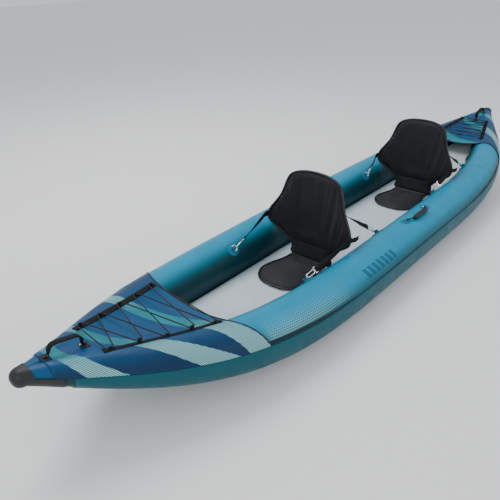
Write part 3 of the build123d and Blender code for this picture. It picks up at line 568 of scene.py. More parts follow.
# %% [markdown]
# ## Fittings, webbing and seat cloth
# Webbing has a herringbone rib along its length; seat cloth is a soft matt weave with sheen.
# %% Fitting materials
def webbing_material():
    material, graph, shader = new_material("black_webbing_weave")
    along, across = graph.attribute("along"), graph.attribute("across")
    lean = graph.math("PINGPONG", graph.math("DIVIDE", across, 0.004), 0.5)
    rib = graph.math("SINE", graph.math("MULTIPLY", graph.math("MULTIPLY_ADD", lean, 0.003, along), 3600.0))
    colour = graph.mix(graph.range(rib, -0.4, 1.0), linear(5, 6, 7), linear(19, 20, 22))
    graph.join(colour, shader.inputs["Base Color"])
    shader.inputs["Roughness"].default_value = 0.72
    shader.inputs["Specular IOR Level"].default_value = 0.25
    bump(graph, shader, (rib, 0.0003, 0.6))
    return material


def solid_webbing_material():
    """Webbing for pieces that have no length values on their points."""
    material, graph, shader = new_material("black_webbing_plain")
    vector = graph.place()[0]
    weave = graph.group(WEAVE, Vector=vector, Pitch=0.0014).outputs[0]
    colour = graph.mix(weave, linear(10, 11, 13), linear(27, 28, 31))
    graph.join(colour, shader.inputs["Base Color"])
    shader.inputs["Roughness"].default_value = 0.74
    bump(graph, shader, (weave, 0.0004, 0.7))
    return material


def seat_material(name, tone):
    material, graph, shader = new_material(name)
    vector = graph.place()[0]
    weave = graph.group(WEAVE, Vector=vector, Pitch=0.0011).outputs[0]
    worn = graph.noise(vector, 14.0, 4.0, 0.6)
    colour = graph.mix(graph.range(worn, 0.35, 0.7), tone[0], tone[1])
    graph.join(colour, shader.inputs["Base Color"])
    graph.join(graph.range(worn, 0.3, 0.7, 0.58, 0.74), shader.inputs["Roughness"])
    shader.inputs["Sheen Weight"].default_value = 0.06
    shader.inputs["Sheen Roughness"].default_value = 0.5
    shader.inputs["Specular IOR Level"].default_value = 0.3
    fine = graph.noise(vector, 55.0, 3.0)
    bump(graph, shader, (fine, 0.0012, 0.25), (weave, 0.0002, 0.5))
    return material


def moulded_material(name, colour, rough, grain=0.00015):
    """Moulded plastic or rubber with a fine grain and scuffed high spots."""
    material, graph, shader = new_material(name)
    vector = graph.place()[0]
    worn = graph.noise(vector, 30.0, 5.0, 0.65)
    light = tuple(min(c * 1.9 + 0.004, 1) for c in colour[:3]) + (1.0,)
    graph.join(graph.mix(graph.range(worn, 0.48, 0.78), colour, light), shader.inputs["Base Color"])
    graph.join(graph.range(worn, 0.3, 0.7, rough - 0.05, rough + 0.12), shader.inputs["Roughness"])
    bump(graph, shader, (graph.noise(vector, 900.0, 2.0), grain, 0.4))
    return material


def steel_material():
    material, graph, shader = new_material("polished_steel")
    vector = graph.place()[0]
    smear = graph.noise(vector, 60.0, 4.0)
    shader.inputs["Base Color"].default_value = (0.78, 0.79, 0.80, 1)
    shader.inputs["Metallic"].default_value = 1.0
    graph.join(graph.range(smear, 0.3, 0.7, 0.10, 0.26), shader.inputs["Roughness"])
    return material


def cord_material():
    """Braided cord: two sets of strands wound opposite ways."""
    material, graph, shader = new_material("cord_braid")
    x, y = graph.place()[1:3]
    first = graph.math("SINE", graph.math("MULTIPLY", graph.math("ADD", x, y), 2600.0))
    second = graph.math("SINE", graph.math("MULTIPLY", graph.math("SUBTRACT", x, y), 2600.0))
    braid = graph.math("MULTIPLY", first, second)
    graph.join(graph.mix(graph.range(braid, -0.5, 1.0), linear(8, 9, 10), linear(34, 35, 38)),
               shader.inputs["Base Color"])
    shader.inputs["Roughness"].default_value = 0.6
    bump(graph, shader, (braid, 0.0004, 0.6))
    return material


MAT = {
    "port": tube_material("tube_print_and_shade_port", 1.0),
    "starboard": tube_material("tube_print_and_shade_starboard", -1.0),
    "deck": deck_material(),
    "lower": plain_cloth("lower_panel", LOWER, 0.45),
    "liner": plain_cloth("deck_lining", linear(8, 42, 56), 0.6),
    "floor": floor_material(),
    "webbing": webbing_material(),
    "webbing_plain": solid_webbing_material(),
    "seat": seat_material("seat_cloth", (linear(14, 16, 18), linear(25, 27, 30))),
    "pad": seat_material("pad_cloth", (linear(26, 28, 31), linear(38, 40, 44))),
    "piping": moulded_material("piping_vinyl", linear(8, 9, 10), 0.42),
    "rubber": moulded_material("black_rubber", linear(14, 18, 21), 0.5),
    "patch": moulded_material("patch_vinyl", linear(0, 104, 130), 0.5),
    "plastic": moulded_material("black_plastic_moulded", linear(14, 15, 17), 0.38),
    "valve": moulded_material("valve_plastic_moulded", linear(24, 27, 30), 0.4),
    "steel": steel_material(),
    "cord": cord_material(),
    "thread": moulded_material("stitch_thread", linear(52, 55, 60), 0.7),
    "film": plain_cloth("bladder_film", linear(205, 212, 216), 0.35),
}

# %% [markdown]
# ## Places on the hull
# Three small functions put things on the hull: a point on a tube from its angle, a point on a
# deck from its plan position, and a section of a deck from chine to chine.
# %% Places on the hull
def on_tube(x, side, tilt, lift=0.0):
    """Point and outward direction; tilt is 0 inboard, 90 on the crown, 180 outboard."""
    a = math.radians(tilt)
    out = Vector((0, -side * math.cos(a), math.sin(a)))
    return Vector((x, side * spread(x), height(x))) + out * (radius(x) + lift), out


def leave_angle():
    return math.pi / 2 + math.radians(DECK_LEAN)


def deck_span(x, lift):
    """Half width and height where the deck leaves the tube, and its bend radius."""
    ring = radius(x) + CLEAR + lift
    span = spread(x) + ring * math.cos(leave_angle())
    top = height(x) + ring * math.sin(leave_angle())
    bend = span / math.sin(math.radians(DECK_LEAN))
    crown = top - span * math.tan(math.radians(DECK_LEAN) / 2)
    return ring, span, bend, crown


def deck_z(x, y, lift=SKIN):
    ring, span, bend, crown = deck_span(x, lift)
    if abs(y) > span:
        reach = min(abs(y) - spread(x), ring)
        return height(x) + math.sqrt(ring * ring - reach * reach)
    return crown + bend - math.sqrt(bend * bend - y * y)


def on_deck(x, y, lift=0.0):
    """Point on a deck's top face, its outward direction and the fore-and-aft direction."""
    step = 0.003
    along = Vector((2 * step, 0, deck_z(x + step, y) - deck_z(x - step, y))).normalized()
    across = Vector((0, 2 * step, deck_z(x, y + step) - deck_z(x, y - step))).normalized()
    out = along.cross(across).normalized()
    return Vector((x, y, deck_z(x, y))) + out * lift, out, along


def deck_arc(x, part, lift):
    """Point on a deck section, part from -1 at the starboard chine to 1 at the port chine."""
    ring, span, bend, crown = deck_span(x, lift)
    start = chine(x) + 0.0015 / ring
    middle = bend * math.asin(min(span / bend, 1))
    outer = ring * (leave_angle() - start)
    s = abs(part) * (middle + outer)
    way = 1 if part >= 0 else -1
    if s <= middle:
        turn = s / bend
        point = Vector((x, way * bend * math.sin(turn), crown + bend * (1 - math.cos(turn))))
        return point, way * s
    a = leave_angle() - (s - middle) / ring
    return Vector((x, way * (spread(x) + ring * math.cos(a)), height(x) + ring * math.sin(a))), way * s


# %% [markdown]
# ## Hull skins
# Each side tube is one smooth cover, gathered a little where the floor pulls it in. It
# hides the air bladder, which stays inside. The bottom panel, decks and nose caps follow
# the same lines a few millimetres further out.
# %% Hull skins
def slow_noise(point, scale, seed):
    return noise.noise(Vector(point) * scale + Vector((seed, seed * 1.7, 0)))


def side_tube(name, side):
    rows, columns = 300, 96
    around, along = [], []

    def place(i, j):
        x = mix(-TUBE_TIP, TUBE_TIP, i / (rows - 1))
        tilt = 360 * j / columns
        around.append(tilt if tilt <= 270 else tilt - 360)
        along.append(x)
        low_side = smooth(75, 20, tilt) if tilt < 90 else smooth(285, 340, tilt)
        dip = 0.0035 * low_side * max(slow_noise((x * 9, tilt * 0.01, side), 1.6, 3), 0)
        dip += 0.0010 * max(slow_noise((x * 2, math.cos(math.radians(tilt)), side), 2.0, 8), 0)
        point = on_tube(x, side, tilt, -dip)[0]
        if side * point.y < CLEAR:
            point.y = side * CLEAR
        return point

    points, faces = grid(rows, columns, place, loop=True)
    faces.append(tuple(range(columns)))
    faces.append(tuple(range((rows - 1) * columns, rows * columns)))
    obj = new_object(name, points, faces, MAT[name.split("_")[0]], {"around": around, "along": along})
    face_out(obj)
    obj.data.polygons[-1].use_smooth = False
    obj.data.polygons[-2].use_smooth = False
    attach(obj, "hull")
    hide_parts(f"{name.split('_')[0]}_side_tube_cover")
    return obj


def bottom_panel():
    rows, half = 260, 30

    def place(i, j):
        x = mix(-SKIN_END, SKIN_END, i / (rows - 1))
        ring = radius(x) + CLEAR + SKIN
        lift, flat = chine(x), 9
        if j < half:
            a = mix(lift, -math.pi / 2, j / (half - 1))
            return Vector((x, spread(x) + ring * math.cos(a), height(x) + ring * math.sin(a)))
        if j < half + flat:
            t = (j - half + 1) / (flat + 1)
            return Vector((x, spread(x) * (1 - 2 * t), height(x) - ring))
        a = mix(-math.pi / 2, lift, (j - half - flat) / (half - 1))
        return Vector((x, -spread(x) - ring * math.cos(a), height(x) + ring * math.sin(a)))

    points, faces = grid(rows, 2 * half + 9, place)
    obj = new_object("bottom_panel", points, faces, MAT["lower"])
    if min(obj.data.polygons, key=lambda polygon: polygon.center.z).normal.z > 0:
        obj.data.flip_normals()
    fatten(obj, SKIN)
    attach(obj, "hull")
    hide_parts("bottom_skin")
    return obj


def deck_cover(name, way):
    """Deck with a swept rear edge that curls in a little, and soft puckers by its seams."""
    rows, columns = 120, 132
    across, side = [], []

    def place(i, j):
        part = 2 * j / (columns - 1) - 1
        probe, s = deck_arc(way * DECK_EDGE[way], part, SKIN)
        sweep = DECK_SWEEP * smooth(TUBE_SPREAD * 0.66, TUBE_SPREAD + MID_RADIUS, abs(probe.y))
        edge = DECK_EDGE[way] - sweep
        t = (i / (rows - 1)) ** 1.15
        x = way * mix(edge, DECK_END, t)
        rise = 0.0022 * max(slow_noise((x * 4, part * 3, 0), 2.2, 5 + way), 0)
        rise *= smooth(0.15, 0.5, abs(part)) * smooth(0.0, 0.1, t)
        point, s = deck_arc(x, part, SKIN + rise)
        across.append(part)
        side.append(s)
        return point

    points, faces = grid(rows, columns, place)
    obj = new_object(name, points, faces, MAT["deck"], {"across": across, "side": side})
    if obj.data.polygons[len(faces) // 2].normal.z < 0:
        obj.data.flip_normals()
    obj.data.materials.append(MAT["liner"])
    change = obj.modifiers.new("thickness", "SOLIDIFY")
    change.thickness = SKIN
    change.offset = -1.0
    change.material_offset = 1
    apply_modifiers(obj)
    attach(obj, "hull")
    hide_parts(name)
    edge_points = [point + Vector((0, 0, 0.0004)) for point in points[:columns]]
    hem = tube_along(f"{name}_hem", edge_points[2:-2], 0.0030, MAT["piping"], sides=10)
    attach(hem, "hull")
    return obj


def nose_cover(name, way):
    """Rubber bumper: a rounded cap over the merged tube ends, longer below the chine."""
    rows, columns = 46, 64
    grow = CLEAR + SKIN

    def place(i, j):
        a = math.tau * j / columns
        below = math.sin(a) < 0.12
        back = HALF_LENGTH - (CAP_BOTTOM if below else CAP_TOP)
        t = i / (rows - 1)
        tip_start = TUBE_TIP
        if t < 0.6:
            x = mix(back, tip_start, t / 0.6)
            shrink, squeeze = 1.0, spread(x)
        else:
            q = (t - 0.6) / 0.4 * math.pi / 2
            x = tip_start + (HALF_LENGTH - tip_start) * math.sin(q)
            shrink = max(math.cos(q), 0.02) ** 0.8
            squeeze = spread(tip_start) * max(math.cos(q), 0.02) ** 0.8
        base = min(x, tip_start)
        ring = (radius(base) + grow) * shrink
        y = math.cos(a) * ring + squeeze * max(-1, min(1, math.cos(a) * 4))
        return Vector((way * x, y, height(base) + math.sin(a) * ring))

    points, faces = grid(rows, columns, place, loop=True)
    faces.append(tuple(range((rows - 1) * columns, rows * columns)))
    obj = new_object(name, points, faces, MAT["rubber"])
    face_out(obj)
    fatten(obj, SKIN * 0.9)
    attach(obj, "hull")
    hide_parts(name)
    return obj


def floor_mat():
    """Inflatable floor with rounded edges, and a dark cord on each side as painted shade where it meets the
    tubes.
    """
    rows, turn, flat = 220, 14, 40
    edge = FLOOR_DEPTH / 2
    count = 2 * (turn + flat)

    def half_width(x):
        reach = (radius(x) + edge + 2 * CLEAR) ** 2 - (radius(x) - edge) ** 2
        return max(spread(x) - math.sqrt(reach), 0.001)

    def place(i, j):
        x = mix(-FLOOR_END, FLOOR_END, i / (rows - 1))
        half, mid = half_width(x), rocker(x) + SKIN + CLEAR + edge
        if j < flat:
            t = j / flat
            dimple = 0.0006 * slow_noise((x * 6, t * 4, 0), 3.0, 2)
            return Vector((x, mix(half, -half, t), mid + edge + dimple))
        j -= flat
        if j < turn:
            a = math.pi / 2 + math.pi * j / turn
            return Vector((x, -half + edge * math.cos(a), mid + edge * math.sin(a)))
        j -= turn
        if j < flat:
            return Vector((x, mix(-half, half, j / flat), mid - edge))
        a = -math.pi / 2 + math.pi * (j - flat) / turn
        return Vector((x, half + edge * math.cos(a), mid + edge * math.sin(a)))

    points, faces = grid(rows, count, place, loop=True)
    faces.append(tuple(range(count)))
    faces.append(tuple(range((rows - 1) * count, rows * count)))
    obj = new_object("floor_mat", points, faces, MAT["floor"])
    face_out(obj)
    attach(obj, "hull")
    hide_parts("floor_panel")
    # Painted shade: a thin dark cord along each upper edge, where the floor meets the tubes.
    for side in (1, -1):
        shade_line = []
        for i in range(160):
            x = mix(-FLOOR_END + 0.03, FLOOR_END - 0.03, i / 159)
            a = math.radians(44)
            y = half_width(x) + (edge + 0.0004) * math.cos(a)
            z = rocker(x) + SKIN + CLEAR + edge + (edge + 0.0004) * math.sin(a)
            shade_line.append(Vector((x, side * y, z)))
        piece = tube_along("floor_seam_" + ("port" if side > 0 else "starboard"), shade_line, 0.0022,
                           MAT["piping"], sides=8)
        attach(piece, "hull")
    return obj


side_tube("port_cover", 1)
side_tube("starboard_cover", -1)
bottom_panel()
for label, way in (("bow", 1), ("stern", -1)):
    deck_cover(f"{label}_deck", way)
    nose_cover(f"{label}_nose_cap", way)
floor_mat()

# %% [markdown]
# ## Seat straps
# Every strap is real webbing. It turns from its hook to its ladder lock, and its end is folded
# round the bar of the hook and sewn. A loose tail hangs at each ladder lock.
# %% Seat straps
STRAPS = {
    ("front", "front"): ((0.71214, 0.23657, 0.24669), (0.1028, -0.7048, 0.7020),
                         (0.49707, 0.26480, 0.30653), (-0.0958, 0.0, 0.9954), (0.0, -1.0, 0.0)),
    ("front", "rear"): ((0.22831, 0.21615, 0.26983), (-0.5874, -0.5722, 0.5723),
                        (0.40929, 0.16331, 0.40276), (0.2448, 0.9693, 0.0236), (0.9648, -0.2459, 0.0929)),
    ("rear", "front"): ((-0.60133, 0.24452, 0.25787), (0.2248, -0.6875, 0.6906),
                        (-0.69793, 0.26480, 0.30950), (-0.0958, 0.0, 0.9954), (0.0, -1.0, 0.0)),
    ("rear", "rear"): ((-0.98077, 0.19674, 0.28014), (-0.4949, -0.6269, 0.6017),
                       (-0.78571, 0.16331, 0.40573), (0.2448, 0.9693, 0.0236), (0.9648, -0.2459, 0.0929)),
}


def mirrored(vector, side):
    return Vector((vector[0], vector[1] * side, vector[2]))


def seat_strap(seat, end, side):
    """Webbing from a hook to a lock, a little slack, with the sewn loop at the hook end."""
    start, eye_wide, finish, lock_wide = STRAPS[seat, end][:4]
    side_name = "port" if side > 0 else "starboard"
    a, b = mirrored(start, side), mirrored(finish, side)
    first, last = mirrored(eye_wide, side), mirrored(lock_wide, side)
    if first.dot(last) < 0:
        last = -last
    pull = (b - a).normalized()
    places, wides = [], []
    rows = 40
    for i in range(rows):
        t = i / (rows - 1)
        sag = -0.004 * math.sin(math.pi * t) * (1 if end == "front" else 0.6)
        places.append(a.lerp(b, t) + Vector((0, 0, sag)))
        wides.append((first * (1 - smooth(0.05, 0.95, t)) + last * smooth(0.05, 0.95, t)).normalized())
    name = f"{seat}_seat_{side_name}_{end}_webbing"
    strap = ribbon(name, places, wides, WEBBING_WIDTH, WEBBING, MAT["webbing"])
    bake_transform(strap)
    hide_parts(f"{seat}_seat_{side_name}_{end}_strap")
    out = pull.cross(first).normalized()
    long = min(0.075, (b - a).length * 0.55)
    loop = [(0.024, -0.0021), (0.014, -0.0021), (0.005, -0.0026), (-0.0023, -0.0034), (-0.0056, 0.0)]
    loop += [(-0.0023, 0.0034), (0.005, 0.0030), (0.016, 0.0023), (long * 0.6, 0.0030), (long, 0.0022)]
    fold = curve_points([a + pull * reach + out * rise for reach, rise in loop], 5)
    tail = ribbon(name + "_loop", fold, [first] * len(fold), WEBBING_WIDTH, WEBBING, MAT["webbing"])
    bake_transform(tail)
    return strap


def lock_tail(seat, end, side):
    """The loose strap end that hangs out of a ladder lock."""
    start, eye_wide, finish, lock_wide, lock_out = STRAPS[seat, end]
    side_name = "port" if side > 0 else "starboard"
    b = mirrored(finish, side)
    wide = mirrored(lock_wide, side)
    out = -mirrored(lock_out, side)
    inward = (b - mirrored(start, side)).normalized()
    into = wide.cross(out).normalized()
    if into.dot(inward) < 0:
        into = -into
    corners = [b + into * 0.010 + out * 0.0045, b + into * 0.026 + out * 0.0050,
               b + into * 0.034 + out * 0.0040]
    corners += [b + into * 0.036 + out * 0.006 + Vector((0, 0, -0.028)),
                b + into * 0.032 + out * 0.009 + Vector((0, 0, -0.062))]
    path = curve_points(corners, 8)
    wides = [wide] * len(path)
    if end == "front":
        path = curve_points([b + into * 0.008 + out * 0.005, b + into * 0.030 + out * 0.0055,
                             b + into * 0.060 + out * 0.012, b + into * 0.088 + out * 0.010], 8)
        wides = [wide] * len(path)
    tail = ribbon(f"{seat}_seat_{side_name}_{end}_tail", path, wides, WEBBING_WIDTH, WEBBING, MAT["webbing"])
    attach(tail, f"{seat}_backrest_body")
    return tail


for seat in ("front", "rear"):
    for end in ("front", "rear"):
        for side in (1, -1):
            seat_strap(seat, end, side)
            lock_tail(seat, end, side)

# %% [markdown]
# ## Deck lacing
# Each deck has two webbing strips. The loops that hold the bungee are one small arch, placed
# again and again by a Geometry Nodes group that has named inputs.
# %% Deck webbing
LACING = {
    1: [(1.742, 0.099), (1.640, 0.127), (1.540, 0.154), (1.440, 0.180), (1.345, 0.206)],
    -1: [(1.742, 0.099), (1.680, 0.116), (1.618, 0.133), (1.556, 0.150), (1.495, 0.166)],
}
LOOP_LONG, LOW_LIFT, HIGH_LIFT, LOOP_HOLE = 0.012, 0.0066, 0.0136, 0.0031


def deck_strip(name, first, last, width, rise=0.0):
    """Webbing that lies along a deck between two plan places."""
    rows, columns = 90, 7
    run = Vector((last[0] - first[0], last[1] - first[1], 0)).normalized()
    wide = Vector((-run.y, run.x, 0))
    along, across = [], []
    total = (Vector((*last, 0)) - Vector((*first, 0))).length

    def place(i, j):
        t, w = i / (rows - 1), (j / (columns - 1) - 0.5) * width
        along.append(t * total)
        across.append(w)
        x, y = mix(first[0], last[0], t) + wide.x * w, mix(first[1], last[1], t) + wide.y * w
        return on_deck(x, y, CLEAR + WEBBING + rise)[0]

    points, faces = grid(rows, columns, place)
    strip = new_object(name, points, faces, MAT["webbing"], {"along": along, "across": across})
    if strip.data.polygons[0].normal.z < 0:
        strip.data.flip_normals()
    fatten(strip, WEBBING)
    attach(strip, "hull")
    return strip


def arch(name, lift):
    """One webbing arch over the cord, its hole centred on the origin."""
    ring = LOOP_HOLE + 0.0014
    foot = -lift + CLEAR + WEBBING * 1.5
    corners = [(-0.0122, foot), (-0.0075, foot), (-ring, foot * 0.55), (-ring, 0.0)]
    corners += [(-ring * 0.7, ring * 0.7), (0, ring), (ring * 0.7, ring * 0.7), (ring, 0.0)]
    corners += [(ring, foot * 0.55), (0.0075, foot), (0.0122, foot)]
    path = curve_points([Vector((0, y, z)) for y, z in corners], 4)
    return ribbon(name, path, [Vector((1, 0, 0))] * len(path), LOOP_LONG, 0.0016, MAT["webbing"])


def row_group():
    """Geometry Nodes: put one shape on every point, turned by the point's own attribute."""
    tree = bpy.data.node_groups.new("Place along a row", "GeometryNodeTree")
    tree.interface.new_socket(name="Points", in_out="INPUT", socket_type="NodeSocketGeometry")
    tree.interface.new_socket(name="Shape", in_out="INPUT", socket_type="NodeSocketObject")
    tree.interface.new_socket(name="Material", in_out="INPUT", socket_type="NodeSocketMaterial")
    size = tree.interface.new_socket(name="Size", in_out="INPUT", socket_type="NodeSocketFloat")
    size.default_value = 1.0
    tree.interface.new_socket(name="Row", in_out="OUTPUT", socket_type="NodeSocketGeometry")
    nodes, link = tree.nodes, tree.links.new
    given, result = nodes.new("NodeGroupInput"), nodes.new("NodeGroupOutput")
    info = nodes.new("GeometryNodeObjectInfo")
    turn = nodes.new("GeometryNodeInputNamedAttribute")
    turn.data_type = "FLOAT_VECTOR"
    turn.inputs["Name"].default_value = "turn"
    scatter = nodes.new("GeometryNodeInstanceOnPoints")
    real, paint = nodes.new("GeometryNodeRealizeInstances"), nodes.new("GeometryNodeSetMaterial")
    link(given.outputs["Points"], scatter.inputs["Points"])
    link(given.outputs["Shape"], info.inputs["Object"])
    link(info.outputs["Geometry"], scatter.inputs["Instance"])
    link(turn.outputs["Attribute"], scatter.inputs["Rotation"])
    link(given.outputs["Size"], scatter.inputs["Scale"])
    link(scatter.outputs["Instances"], real.inputs["Geometry"])
    link(real.outputs["Geometry"], paint.inputs["Geometry"])
    link(given.outputs["Material"], paint.inputs["Material"])
    link(paint.outputs["Geometry"], result.inputs["Row"])
    return tree


ROW = row_group()


def set_input(modifier, label, value):
    for item in ROW.interface.items_tree:
        if item.item_type == "SOCKET" and item.in_out == "INPUT" and item.name == label:
            modifier[item.identifier] = value


def row_of(name, shape, places, material, size=1.0):
    """places holds (point, rotation matrix) pairs; gives one plain mesh."""
    mesh = bpy.data.meshes.new(name)
    mesh.from_pydata([tuple(p) for p, turn in places], [], [])
    layer = mesh.attributes.new("turn", "FLOAT_VECTOR", "POINT")
    layer.data.foreach_set("vector", [c for p, turn in places for c in turn.to_euler()])
    obj = bpy.data.objects.new(name, mesh)
    bpy.context.collection.objects.link(obj)
    modifier = obj.modifiers.new("row", "NODES")
    modifier.node_group = ROW
    set_input(modifier, "Shape", shape)
    set_input(modifier, "Material", material)
    set_input(modifier, "Size", size)
    apply_modifiers(obj)
    return obj


def axes(along, out):
    """Rotation whose x is along and whose z is out."""
    x = along.normalized()
    y = out.cross(x).normalized()
    return Matrix((x, y, x.cross(y))).transposed()


def lace_deck(label, way):
    groups = {LOW_LIFT: [], HIGH_LIFT: []}
    for side_name, side in (("port", 1), ("starboard", -1)):
        feet = [(way * x, side * y) for x, y in LACING[way]]
        run = (Vector((*feet[0], 0)) - Vector((*feet[-1], 0))).normalized() * 0.026
        first = (feet[0][0] + run.x, feet[0][1] + run.y)
        last = (feet[-1][0] - run.x, feet[-1][1] - run.y)
        deck_strip(f"{label}_{side_name}_strip", first, last, WEBBING_WIDTH)
        for index, (x, y) in enumerate(feet):
            low = (index % 2 == 0) == (side > 0)
            lift = LOW_LIFT if low else HIGH_LIFT
            point, out, along = on_deck(x, y, lift)
            groups[lift].append((point, axes(along, out)))
        for index, (x, y) in enumerate((first, last)):
            reach = -0.75 if index == 0 else 0.75
            inner = (x + run.x * reach, y + run.y * reach)
            ends = (inner, (x, y)) if index == 0 else ((x, y), inner)
            deck_strip(f"{label}_{side_name}_fold_{index}", ends[0], ends[1], WEBBING_WIDTH,
                                     WEBBING)
    for lift, word in ((LOW_LIFT, "low"), (HIGH_LIFT, "high")):
        shape = arch(f"{label}_{word}_arch", lift)
        row = row_of(f"{label}_{word}_loops", shape, groups[lift], MAT["webbing"])
        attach(row, "hull")
        bpy.data.objects.remove(shape)
    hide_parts(f"{label}_deck_webbing")


for label, way in (("bow", 1), ("stern", -1)):
    lace_deck(label, way)

# %% [markdown]
# ## Handles
# The grab handles are thick webbing on short pins. The side handles are a ribbed grip on two
# webbing legs, lying outboard of the line they swing on.
# %% Handles
GRAB_LINE = {1: (Vector((1.85494, 0, 0.38055)), Vector((0.9724, 0, 0.2332))),
             -1: (Vector((-1.85494, 0, 0.38055)), Vector((0.9724, 0, -0.2332)))}
GRAB_LONG, GRAB_RISE = 0.138, 0.042
CARRY_X, CARRY_GRIP, CARRY_GRIP_LONG, CARRY_LIFT, CARRY_TILT = (-0.216, 0.017), 0.014, 0.140, 0.008, 88.0
CARRY_TURN = 12.2  # degrees from the handle's swing line round the tube to its grip


def grab_strap(label, way):
    origin, along = GRAB_LINE[way]
    up = Vector((-along.z, 0, along.x))
    leg = GRAB_LONG / 2 - 0.007
    corners = [(-leg, -0.001), (-leg, 0.010), (-leg + 0.001, 0.024), (-leg + 0.008, 0.036)]
    corners += [(-leg + 0.022, GRAB_RISE)]
    corners += [(0, GRAB_RISE + 0.001)] + [(-x, z) for x, z in reversed(corners)]
    path = curve_points([origin + along * x + up * z for x, z in corners], 7)
    count = len(path)
    strap = ribbon(f"{label}_grab_webbing", path, [Vector((0, 1, 0))] * count, WEBBING_WIDTH, 0.0042,
                   MAT["webbing"])
    for vertex in strap.data.vertices:
        local = vertex.co - origin
        lift = local.dot(up)
        vertex.co.y *= mix(0.40, 1.0, smooth(0.002, 0.024, lift))
    body = f"{label}_grab_handle_body"
    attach(strap, body)
    for end in (-1, 1):
        a = origin + along * end * (leg - 0.009)
        b = origin + along * end * (leg + 0.0145)
        pin = tube_along(f"{label}_grab_pin_{end}", [a, (a + b) / 2, b], 0.0024, MAT["steel"], sides=16)
        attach(pin, body)
    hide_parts(f"{label}_grab_handle")
    return strap


def carry_handle(name, side):
    point = on_tube(sum(CARRY_X) / 2, side, CARRY_TILT, CARRY_LIFT)[0]
    ring = MID_RADIUS + CARRY_GRIP + 2 * CLEAR
    centre = Vector((point.x, side * spread(point.x), height(point.x)))
    a = math.radians(CARRY_TILT + CARRY_TURN)
    grip_out = Vector((0, -side * math.cos(a), math.sin(a)))
    grip_at = centre + grip_out * ring
    away = (grip_at - point).normalized()
    half = (CARRY_X[1] - CARRY_X[0]) / 2
    rows, sectors = 71, 24

    def place(i, j):
        t = i / (rows - 1)
        x = mix(-CARRY_GRIP_LONG / 2, CARRY_GRIP_LONG / 2, t)
        ends = smooth(0.04, 0.08, t) * smooth(0.96, 0.92, t)
        rib = 0.0011 * (0.5 + 0.5 * math.cos(t * math.tau * 14)) * ends
        end = 1 - 0.35 * (smooth(0.05, 0.0, t) + smooth(0.95, 1.0, t))
        r = (CARRY_GRIP - 0.0012 + rib) * end
        b = math.tau * j / sectors
        return grip_at + Vector((x, r * math.cos(b), r * math.sin(b)))

    points, faces = grid(rows, sectors, place, loop=True)
    faces.append(tuple(range(sectors)))
    faces.append(tuple(range((rows - 1) * sectors, rows * sectors)))
    grip = new_object(f"{name}_grip", points, faces, MAT["rubber"])
    face_out(grip)
    body = f"{name}_body"
    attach(grip, body)
    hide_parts(name)
    for end in (-1, 1):
        x0, x1 = point.x + end * (half - 0.014), point.x + end * (CARRY_GRIP_LONG / 2 + 0.010)
        corners = [Vector((x0 + end * 0.002, point.y, point.z)),
                   Vector((x0, point.y, point.z)) + away * 0.008,
                   Vector((x1, point.y, point.z)) + away * 0.022,
                   Vector((point.x + end * (CARRY_GRIP_LONG / 2 - 0.004), grip_at.y, grip_at.z))]
        path = curve_points(corners, 8)
        flat = Vector((1, 0, 0)).cross(away).normalized()
        wides = []
        for k in range(len(path)):
            run = (path[min(k + 1, len(path) - 1)] - path[max(k - 1, 0)]).normalized()
            wides.append(flat.cross(run).normalized())
        leg = ribbon(f"{name}_leg_{end}", path, wides, 0.0105, 0.003, MAT["webbing"])
        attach(leg, body)
        a, b = point.x + end * (half - 0.020), point.x + end * (half + 0.006)
        pin = tube_along(f"{name}_pin_{end}", [Vector((a, point.y, point.z)), Vector((b, point.y, point.z))],
                         0.0024, MAT["steel"], sides=16)
        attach(pin, body)


for label, way in (("bow", 1), ("stern", -1)):
    grab_strap(label, way)
for label, side in (("port", 1), ("starboard", -1)):
    carry_handle(f"{label}_carry_handle", side)

# %% [markdown]
# ## Seats
# Each base is a firm pad with piping round its rim. Each back is a bent, padded panel: a
# smooth upper part gathered under its top rim, wings at the sides, and a flat lumbar band at
# the foot. The panels are blown up a little by the cloth solver before the piping goes on.
# %% Seat shapes
SEAT_SHIFT = -1.195
PAD_TOP = 0.115
PAD_EDGE = [(0.775, 0.0), (0.768, 0.060), (0.742, 0.104), (0.700, 0.134), (0.655, 0.146), (0.600, 0.140)]
PAD_EDGE += [(0.545, 0.124), (0.500, 0.114), (0.458, 0.112), (0.452, 0.104)]
PIVOT = {"front": Vector((0.433, 0, 0.09090)), "rear": Vector((-0.762, 0, 0.09387))}
BACK_LEAN, BACK_BEND, BACK_THICK = math.radians(5.5), 0.650, 0.022
BACK_EDGE = [(0.000, 0.000), (0.122, 0.000), (0.125, 0.035), (0.130, 0.070), (0.172, 0.108), (0.226, 0.146)]
BACK_EDGE += [(0.256, 0.175), (0.262, 0.205), (0.254, 0.240), (0.232, 0.275), (0.204, 0.320), (0.188, 0.360)]
BACK_EDGE += [(0.174, 0.405), (0.158, 0.440), (0.128, 0.463), (0.070, 0.478), (0.000, 0.482)]


def floor_height(x):
    return rocker(x) + SKIN + CLEAR + FLOOR_DEPTH


def even_points(points, count, closed=True):
    """The same outline with its points evenly spaced."""
    loop = points + [points[0]] if closed else points
    lengths = [(b - a).length for a, b in zip(loop, loop[1:])]
    total, out = sum(lengths), []
    step = total / (count if closed else count - 1)
    index, passed = 0, 0.0
    for k in range(count):
        want = min(k * step, total - 1e-9)
        while passed + lengths[index] < want:
            passed += lengths[index]
            index += 1
        out.append(loop[index].lerp(loop[index + 1], (want - passed) / lengths[index]))
    return out


